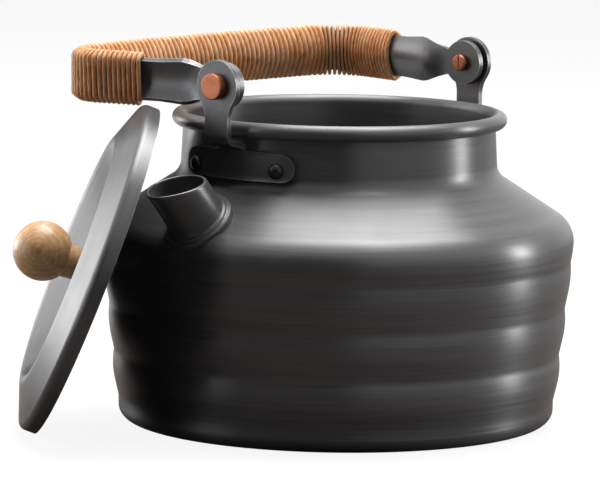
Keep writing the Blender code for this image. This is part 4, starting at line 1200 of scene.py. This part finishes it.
# %% Pivot rivets and washers
PIVOT_HEAD_RADIUS, PIVOT_HEAD = 4.15 * MM, 2.5 * MM
PIVOT_TAIL_RADIUS, PIVOT_TAIL = 2.7 * MM, 1.9 * MM
PIVOT_HEAD_EDGE, PIVOT_HEAD_DISH = 0.35 * MM, 0.12 * MM
PIVOT_TAIL_EDGE = 0.6 * MM
SPLIT_WIDTH, SPLIT_LENGTH = 0.5 * MM, 12 * MM
WASHER_SHEET, WASHER_RADIUS, WASHER_EDGE = 0.8 * MM, 5.4 * MM, 0.2 * MM
STRIP_SHEET = 1.9 * MM


def make_pivot(end):
    """The copper rivet and its washer."""
    pivot = on_hinge(EAR_FACES[end])
    inward = Vector((-math.copysign(1, pivot.x), 0, 0))
    stack = BRACKET_SHEET + WASHER_SHEET + STRIP_SHEET + 3 * CLEARANCE
    head, tail, edge = -CLEARANCE - PIVOT_HEAD, stack + PIVOT_TAIL, PIVOT_HEAD_EDGE
    outline = [(0, head + PIVOT_HEAD_DISH), (PIVOT_HEAD_RADIUS * 0.6, head)]
    outline += arc(PIVOT_HEAD_RADIUS - edge, head + edge, edge, -90, 0, 6)
    outline += [(PIVOT_HEAD_RADIUS, -CLEARANCE), (PIVOT_SHANK, -CLEARANCE), (PIVOT_SHANK, stack)]
    outline += [(PIVOT_TAIL_RADIUS - 0.2 * MM, stack), (PIVOT_TAIL_RADIUS, stack + 0.3 * MM)]
    edge = PIVOT_TAIL_EDGE
    outline += arc(PIVOT_TAIL_RADIUS - edge, tail - edge, edge, 0, 90, 6) + [(0, tail)]
    rivet = turned(f"{end}_pivot_rivet_fine", outline, 56, COPPER, frame_along(pivot, inward))
    split_at = Matrix.Translation(pivot + inward * (stack + PIVOT_TAIL * 1.1))
    cut_away(rivet, [box((PIVOT_TAIL, SPLIT_WIDTH, SPLIT_LENGTH), split_at)])
    keep(rivet, f"{end}_pivot_rivet", "kettle")
    seat = frame_along(pivot + inward * (BRACKET_SHEET + CLEARANCE), inward)
    hole = PIVOT_SHANK + CLEARANCE
    ring = rounded([(hole, 0, 0), (WASHER_RADIUS, 0, WASHER_EDGE),
                    (WASHER_RADIUS, WASHER_SHEET, WASHER_EDGE), (hole, WASHER_SHEET, 0)], steps=3)
    washer = turned(f"{end}_pivot_washer_fine", ring, 56, WASHER_FIBRE, seat)
    keep(washer, f"{end}_pivot_washer", "kettle")


for end in EAR_FACES:
    make_pivot(end)
print("pieces so far:", len(PIECES))

# %% [markdown]
# ## Handle strip
#
# The strip is crowned across, with its convex side on the inside of the hoop, where the fingers
# lie, and it is flat at its two round eyes. Seen from above it is a squarish hoop: past the flare
# each arm is bent a little outwards, so that the bar is longer than the distance between the eyes,
# and the bar has a slight bow. The angle of the arms follows from how far the corners stand out.

# %% Hoop of the handle
STRIP_WIDTH = 12.7 * MM
EYE_RADIUS = 7.3 * MM
STRIP_NECK = 6.0 * MM
STRIP_FLARE = 16.0 * MM
FLARE_LIP = 0.55 * MM
STRIP_CROWN = 2.2 * MM
HANDLE_REACH = 66.5 * MM
HANDLE_SPLAY = 7.3 * MM
ARM_BEND, ARM_BEND_RUN = 16.0 * MM, 7.0 * MM
HANDLE_CORNER = 15.0 * MM
HANDLE_BOW = 2.0 * MM
EYE_INSET = BRACKET_SHEET + WASHER_SHEET + STRIP_SHEET / 2 + 2 * CLEARANCE
FRONT_EYE, REAR_EYE = EAR_FACES["front"] + EYE_INSET, EAR_FACES["rear"] - EYE_INSET
HANDLE_X = (FRONT_EYE + REAR_EYE) / 2
HALF_SPAN = (REAR_EYE - FRONT_EYE) / 2
CORNER_ROWS, BEND_STEPS = 24, 6


def handle_path():
    """The strip's middle line from above: (x, y, heading) points from eye to eye."""
    half_chord = HALF_SPAN + HANDLE_SPLAY - HANDLE_CORNER
    bow_radius = (half_chord ** 2 + HANDLE_BOW ** 2) / (2 * HANDLE_BOW)
    bow_y = HANDLE_REACH - bow_radius
    bow = math.asin(half_chord / (bow_radius - HANDLE_CORNER))
    corner_y = bow_y + (bow_radius - HANDLE_CORNER) * math.cos(bow)
    to_corner = Vector((HANDLE_CORNER - HANDLE_SPLAY, corner_y - ARM_BEND))
    splay = math.asin(HANDLE_CORNER / to_corner.length) - math.atan2(to_corner.x, to_corner.y)
    left = [(-HALF_SPAN, 0, 0.0)]
    bend_radius = ARM_BEND_RUN / (2 * math.tan(splay / 2))
    for i in range(BEND_STEPS + 1):
        turn = splay * i / BEND_STEPS
        left.append((-HALF_SPAN - bend_radius * (1 - math.cos(turn)),
                     ARM_BEND - ARM_BEND_RUN / 2 + bend_radius * math.sin(turn), -turn))
    for i in range(CORNER_ROWS + 1):
        turn = -splay + (math.pi / 2 - bow + splay) * i / CORNER_ROWS
        left.append((-half_chord - HANDLE_CORNER * math.cos(turn),
                     corner_y + HANDLE_CORNER * math.sin(turn), turn))
    middle = []
    for i in range(1, CORNER_ROWS):
        turn = -bow + 2 * bow * i / CORNER_ROWS
        middle.append((bow_radius * math.sin(turn), bow_y + bow_radius * math.cos(turn),
                       math.pi / 2 + turn))
    right = [(-x, y, math.pi - turn) for x, y, turn in left[::-1]]
    return [(x + HANDLE_X, y, turn) for x, y, turn in left + middle + right]


HANDLE = handle_path()
HANDLE_LENGTHS = path_lengths(HANDLE)
HANDLE_COLUMNS = list(zip(*HANDLE))
HANDLE_LENGTH = HANDLE_LENGTHS[-1]


def handle_frame(along):
    """A point on the strip's middle line and its heading."""
    return tuple(float(np.interp(along, HANDLE_LENGTHS, column)) for column in HANDLE_COLUMNS)


# %% Handle strip
def strip_crown(across, end_distance):
    """How far the strip bulges inwards at a place across it, and the slope of its face there."""
    grown = min(max((end_distance - STRIP_NECK) / (STRIP_FLARE - STRIP_NECK), 0), 1)
    grown = grown * grown * (3 - 2 * grown)
    share = across / (STRIP_WIDTH / 2)
    slope = 2 * STRIP_CROWN * grown * share / (STRIP_WIDTH / 2)
    return STRIP_CROWN * grown * (1 - share ** 2), math.atan(slope)


RAMP_CUTS, CROWN_COLUMNS = 10, 12


def make_strip():
    """The strip with its two eyes, bent to the hoop."""
    half = STRIP_WIDTH / 2
    notch = math.degrees(math.acos(STRIP_NECK / EYE_RADIUS))
    eye = arc(0, 0, EYE_RADIUS, 360 - notch, notch, 44)
    near = [(STRIP_FLARE + 10 * MM, half), (STRIP_FLARE + 1.5 * MM, half + FLARE_LIP),
            (STRIP_FLARE - 1.0 * MM, half + FLARE_LIP - 0.35 * MM)]
    near = near + eye[::-1] + [(x, -y) for x, y in near[::-1]]
    outline = near + [(HANDLE_LENGTH - x, -y) for x, y in near]

    def place(along, across, depth):
        """Where a point of the flat strip lies on the hoop, with its crown."""
        x, y, turn = handle_frame(along)
        end_distance = min(along, HANDLE_LENGTH - along)
        if end_distance < 0:
            y += end_distance
        crown, slope = strip_crown(across, end_distance)
        shift = (depth - STRIP_SHEET / 2) * math.cos(slope) - crown
        lean = (depth - STRIP_SHEET / 2) * math.sin(slope)
        return Vector((x - shift * math.cos(turn), y + shift * math.sin(turn),
                       PIVOT_HEIGHT + across - lean))

    ramp = [STRIP_NECK + (STRIP_FLARE + 2 * MM - STRIP_NECK) * i / RAMP_CUTS
            for i in range(RAMP_CUTS + 1)]
    cuts = ramp + [HANDLE_LENGTH - value for value in ramp] + HANDLE_LENGTHS[1:-1]
    crown_cuts = [STRIP_WIDTH * (i / CROWN_COLUMNS - 0.5) for i in range(1, CROWN_COLUMNS)]
    strip = bend_flat("bail_handle_fine", outline, cuts, crown_cuts, STRIP_SHEET, place, STEEL_COAT)
    reach = Vector((4 * MM, 0, 0))
    cut_away(strip, [rod(PIVOT_SHANK + CLEARANCE, on_hinge(x) - reach, on_hinge(x) + reach)
                     for x in (FRONT_EYE, REAR_EYE)])
    round_edges(strip)
    return keep(strip, "bail_handle", "handle")


strip = make_strip()
print("strip:", len(strip.data.polygons), "faces, hoop length mm", round(HANDLE_LENGTH / MM, 1))

# %% [markdown]
# ## Wrap
#
# One waxed cord is wound tightly round the strip. Each turn spans flat across the hollow outer side
# and follows the crown inside. The turns lie close on the arms and a little wider and less evenly
# along the bar, and where the hoop bends, they are squeezed together on its inner side. The cord is
# swept as a tube: its middle line follows the strip's section at half a cord's distance, and its
# width is limited to the room that each turn has.

# %% Path of a turn
CORD_RADIUS = 0.90 * MM
CORD_LIFT = 0.05 * MM
INNER_COLUMNS = 10
DEGREES_PER_STEP = 12


def strip_section():
    """The strip's cross-section, (across, depth outwards), from its outer side round."""
    half = STRIP_WIDTH / 2

    def corner(across, side):
        """A point on one face of the strip: side is 1 on the outer face and -1 on the inner."""
        crown, slope = strip_crown(across, STRIP_FLARE)
        reach = side * STRIP_SHEET / 2
        return across - reach * math.sin(slope), reach * math.cos(slope) - crown

    inner = [corner(half - STRIP_WIDTH * i / INNER_COLUMNS, -1) for i in range(INNER_COLUMNS + 1)]
    return [corner(-half, 1), corner(half, 1)] + inner


def section_line(gap):
    """A closed line round the strip's section at a distance: points with their outward normals."""
    corners = strip_section()
    points = []
    for i, here in enumerate(corners):
        before, after = corners[i - 1], corners[(i + 1) % len(corners)]
        start = math.atan2(here[0] - before[0], before[1] - here[1])
        turn = (start - math.atan2(after[0] - here[0], here[1] - after[1])) % (2 * math.pi)
        steps = max(1, round(math.degrees(turn) / DEGREES_PER_STEP))
        for k in range(steps + 1):
            a = start - turn * k / steps
            c, s = math.cos(a), math.sin(a)
            points.append((here[0] + gap * c, here[1] + gap * s, c, s))
    return points + points[:1]


TURN_LINE = section_line(CORD_RADIUS + CORD_LIFT)
TURN_LENGTHS = path_lengths(TURN_LINE)
TURN_COLUMNS = list(zip(*TURN_LINE))
TURN_LENGTH = TURN_LENGTHS[-1]
print("one turn takes mm", round(TURN_LENGTH / MM, 1))

# %% Places of the turns
WRAP_START = 32.3 * MM
ARM_PITCH, BAR_PITCH = 1.80 * MM, 2.32 * MM
UNEVENNESS, PLACE_SEED = 0.06, 7


def turn_on_bar(along):
    """Whether a place along the strip is on the bar, past the middle of a corner."""
    return HANDLE_REACH < along < HANDLE_LENGTH - HANDLE_REACH


def turn_starts():
    """Where each turn starts along the strip, with small uneven steps on the bar."""
    chance = random.Random(PLACE_SEED)
    starts, at = [], WRAP_START
    while at < HANDLE_LENGTH - WRAP_START:
        starts.append(at)
        uneven = 1 + chance.uniform(-UNEVENNESS, UNEVENNESS)
        at += BAR_PITCH * uneven if turn_on_bar(at) else ARM_PITCH
    scale = (HANDLE_LENGTH - 2 * WRAP_START) / (at - WRAP_START)
    return [WRAP_START + (s - WRAP_START) * scale for s in starts] + [HANDLE_LENGTH - WRAP_START]


# %% Wrap
ARM_FILL, BAR_FILL = 0.36, 0.475
MOST_SLACK, OUTER_SLACK, SLACK_SEED = 0.17, 0.6, 11
BEND_PROBE = 1 * MM
PLIES, PLY_DEPTH, PLY_LAY = 3, 0.035, 6.5 * MM
PER_TURN, ROUND_CORD = 64, 10


def cord_ring(start, pitch, fill, slack, part, run):
    """The points round the cord at a part of one turn."""
    across, depth, normal_a, normal_d = (float(np.interp(part * TURN_LENGTH, TURN_LENGTHS, column))
                                         for column in TURN_COLUMNS)
    along = start + pitch * part
    x, y, heading = handle_frame(along)
    before, after = handle_frame(along - BEND_PROBE)[2], handle_frame(along + BEND_PROBE)[2]
    half_width = pitch * (1 + (after - before) / (2 * BEND_PROBE) * depth) * fill
    outward = Vector((-math.cos(heading), math.sin(heading), 0))
    onward = Vector((math.sin(heading), math.cos(heading), 0))
    normal = (outward * normal_d + Vector((0, 0, normal_a))).normalized()
    lift = slack * max(0.0, normal_d) * OUTER_SLACK
    middle = Vector((x, y, PIVOT_HEIGHT + across)) + outward * depth + normal * lift
    points = []
    for k in range(ROUND_CORD):
        a = 2 * math.pi * k / ROUND_CORD
        ply = 1 - PLY_DEPTH * (1 + math.cos(PLIES * a + 2 * math.pi * run / PLY_LAY))
        points.append(middle + normal * math.cos(a) * CORD_RADIUS * ply
                      + onward * math.sin(a) * half_width * ply)
    return points


def make_wrap():
    """The cord as one swept tube with a light twist in its surface."""
    starts = turn_starts()
    turns = len(starts) - 1
    chance = random.Random(SLACK_SEED)
    slack = [chance.uniform(0, MOST_SLACK) * MM for _ in range(turns)]
    vertices, faces, marks, uvs = [], [], [], []
    rows = turns * PER_TURN + 1
    for row in range(rows):
        turn = min(row // PER_TURN, turns - 1)
        part = row / PER_TURN - turn
        fill = BAR_FILL if turn_on_bar(starts[turn]) else ARM_FILL
        run = (turn + part) * TURN_LENGTH
        vertices += cord_ring(starts[turn], starts[turn + 1] - starts[turn], fill, slack[turn], part, run)
        marks.append(run)
    for row in range(rows - 1):
        for k in range(ROUND_CORD):
            n = (k + 1) % ROUND_CORD
            low, high = row * ROUND_CORD, (row + 1) * ROUND_CORD
            faces.append((low + n, low + k, high + k, high + n))
            v0, v1 = k / ROUND_CORD, (k + 1) / ROUND_CORD
            uvs += [(marks[row], v1), (marks[row], v0), (marks[row + 1], v0), (marks[row + 1], v1)]
    forwards = range(ROUND_CORD)
    for base, order in ((0, forwards), ((rows - 1) * ROUND_CORD, forwards[::-1])):
        faces.append(tuple(base + k for k in order))
        uvs += [(marks[0], k / ROUND_CORD) for k in order]
    mesh = bpy.data.meshes.new("handle_wrap_fine")
    mesh.from_pydata(vertices, [], faces)
    layer = mesh.uv_layers.new(name="cord")
    layer.uv.foreach_set("vector", np.array(uvs, dtype=np.float32).ravel())
    wrap = finish_object("handle_wrap_fine", mesh, CORD, Matrix.Identity(4), sharp=70)
    keep(wrap, "handle_wrap", "handle")
    print("wrap:", turns, "turns,", round(marks[-1], 2), "m of cord,", len(faces), "faces")


make_wrap()

# %% [markdown]
# ## Lid and knob
#
# The lid is spun like the body: a short skirt drops over the bead, a broad cone rises from it to a
# soft crest, and the middle is dished, so that the knob's foot lies low. It stands on its edge and
# leans on the belly. The knob is a turned ball on a short neck, held by a screw and a washer from
# below. All four pieces share one frame, whose Z is the lid's own axis.

# %% Lid
LID_PLACE = Vector((-78.5, 40.3, 53.45)) * MM
LID_TURN, LID_LEAN = math.radians(44.6), math.radians(20.96)
LID_NORMAL = Vector((-math.cos(LID_LEAN) * math.cos(LID_TURN),
                     math.cos(LID_LEAN) * math.sin(LID_TURN), math.sin(LID_LEAN)))
LID_SHEET = 0.8 * MM
LID_RADIUS = BEAD_X + BEAD_RADIUS + 0.2 * MM + LID_SHEET
LID_SKIRT = 4.9 * MM
LID_EDGE = 2.4 * MM
CREST_RADIUS, CREST = 40.6 * MM, 5.4 * MM
CREST_ROUND = 4.5 * MM
DISH_RADIUS, DISH_FLOOR, DISH_ROUND = 27.0 * MM, -3.2 * MM, 9 * MM
SCREW_RADIUS = 1.5 * MM
LID_FRAME = frame_along(LID_PLACE, LID_NORMAL)


def make_lid():
    """The coned and dished lid with its skirt."""
    top = [(SCREW_RADIUS + CLEARANCE, DISH_FLOOR)]
    top += rounded([(0, DISH_FLOOR, 0), (DISH_RADIUS, DISH_FLOOR, DISH_ROUND),
                    (CREST_RADIUS, CREST, CREST_ROUND), (LID_RADIUS, 0, LID_EDGE),
                    (LID_RADIUS, -LID_SKIRT, 0)], steps=12)[1:]
    under = offset(top, -LID_SHEET)
    under[-1] = (LID_RADIUS - LID_SHEET, -LID_SKIRT)
    lid = turned("lid_fine", top + under[::-1], 192, SPUN_LID, LID_FRAME)
    return keep(lid, "lid", "lid")


lid = make_lid()
print("lid:", len(lid.data.polygons), "faces, radius mm", round(LID_RADIUS / MM, 2))

# %% Knob
BALL_RADIUS, BALL_HEIGHT = 9.6 * MM, 13.2 * MM
KNOB_NECK, KNOB_FOOT = 5.2 * MM, 7.4 * MM
FOOT_EDGE, FOOT_TOP_EDGE = 0.15 * MM, 0.2 * MM
RIM_HEIGHT, FOOT_HEIGHT = 0.45 * MM, 0.7 * MM
NECK_SWEEP, NECK_TOP = 3.0 * MM, 4.4 * MM
SWEEP_ROWS = 9
SCREW_LENGTH = 11.0 * MM
KNOB_WASHER_RADIUS, KNOB_WASHER_SHEET, KNOB_WASHER_EDGE = 4.6 * MM, 0.5 * MM, 0.12 * MM


def make_knob():
    """The wooden ball with its neck, foot and blind hole."""
    fibre = (LID_FRAME.to_3x3().transposed() @ FIBRE_DIRECTION).normalized()
    seat = DISH_FLOOR + CLEARANCE
    neck, foot = KNOB_NECK, KNOB_FOOT
    tip = DISH_FLOOR - LID_SHEET - KNOB_WASHER_SHEET - 2 * CLEARANCE + SCREW_LENGTH
    meets = math.degrees(math.acos(neck / BALL_RADIUS))
    outline = [(0, tip + CLEARANCE), (SCREW_RADIUS + CLEARANCE, tip + CLEARANCE)]
    outline += [(SCREW_RADIUS + CLEARANCE, seat), (foot - FOOT_EDGE, seat)]
    foot_top = foot - FOOT_TOP_EDGE
    outline += [(foot, seat + FOOT_EDGE), (foot, seat + RIM_HEIGHT), (foot_top, seat + FOOT_HEIGHT)]
    for i in range(1, SWEEP_ROWS):
        angle = math.pi / 2 * i / SWEEP_ROWS
        outline.append((foot_top - (foot_top - neck) * math.sin(angle),
                        seat + FOOT_HEIGHT + NECK_SWEEP * (1 - math.cos(angle))))
    outline.append((neck, seat + NECK_TOP))
    outline += arc(0, BALL_HEIGHT, BALL_RADIUS, -meets + 3, 90, 34)[:-1]
    outline.append((0, BALL_HEIGHT + BALL_RADIUS))
    beech = beech_finish(fibre, Vector((0, 0, BALL_HEIGHT)))
    return keep(turned("knob_fine", outline, 96, beech, LID_FRAME), "knob", "lid")


knob = make_knob()
print("knob:", len(knob.data.polygons), "faces")

# %% Screw and washer
SCREW_HEAD_RADIUS, SCREW_HEAD, SCREW_HEAD_EDGE = 2.8 * MM, 0.4 * MM, 0.3 * MM
SCREW_POINT = 1 * MM
SLOT = (3.4 * MM, 0.7 * MM, 0.5 * MM)


def make_fixing():
    """The washer and the screw under the lid."""
    low = DISH_FLOOR - LID_SHEET - CLEARANCE - KNOB_WASHER_SHEET
    hole, rim = SCREW_RADIUS + CLEARANCE, KNOB_WASHER_RADIUS
    sheet, edge = KNOB_WASHER_SHEET, KNOB_WASHER_EDGE
    ring = rounded([(hole, 0, 0), (rim, 0, edge), (rim, sheet, edge), (hole, sheet, 0)], steps=3)
    seat = LID_FRAME @ Matrix.Translation((0, 0, low))
    keep(turned("knob_washer_fine", ring, 48, PLAIN_STEEL, seat), "knob_washer", "lid")
    head = low - CLEARANCE
    top, tip, edge = head - SCREW_HEAD, head + SCREW_LENGTH, SCREW_HEAD_EDGE
    outline = [(0, top)] + arc(SCREW_HEAD_RADIUS - edge, top + edge, edge, -90, 0, 6)
    outline += [(SCREW_HEAD_RADIUS, head), (SCREW_RADIUS, head)]
    outline += [(SCREW_RADIUS, tip - SCREW_POINT), (0, tip)]
    screw = turned("knob_screw_fine", outline, 40, PLAIN_STEEL, LID_FRAME)
    slots_at = LID_FRAME @ Matrix.Translation((0, 0, top))
    cut_away(screw, [box(SLOT, slots_at @ Matrix.Rotation(turn, 4, "Z")) for turn in (0, math.pi / 2)])
    keep(screw, "knob_screw", "lid")


make_fixing()
print("pieces:", len(PIECES), "of", len(frame["nodes"]))
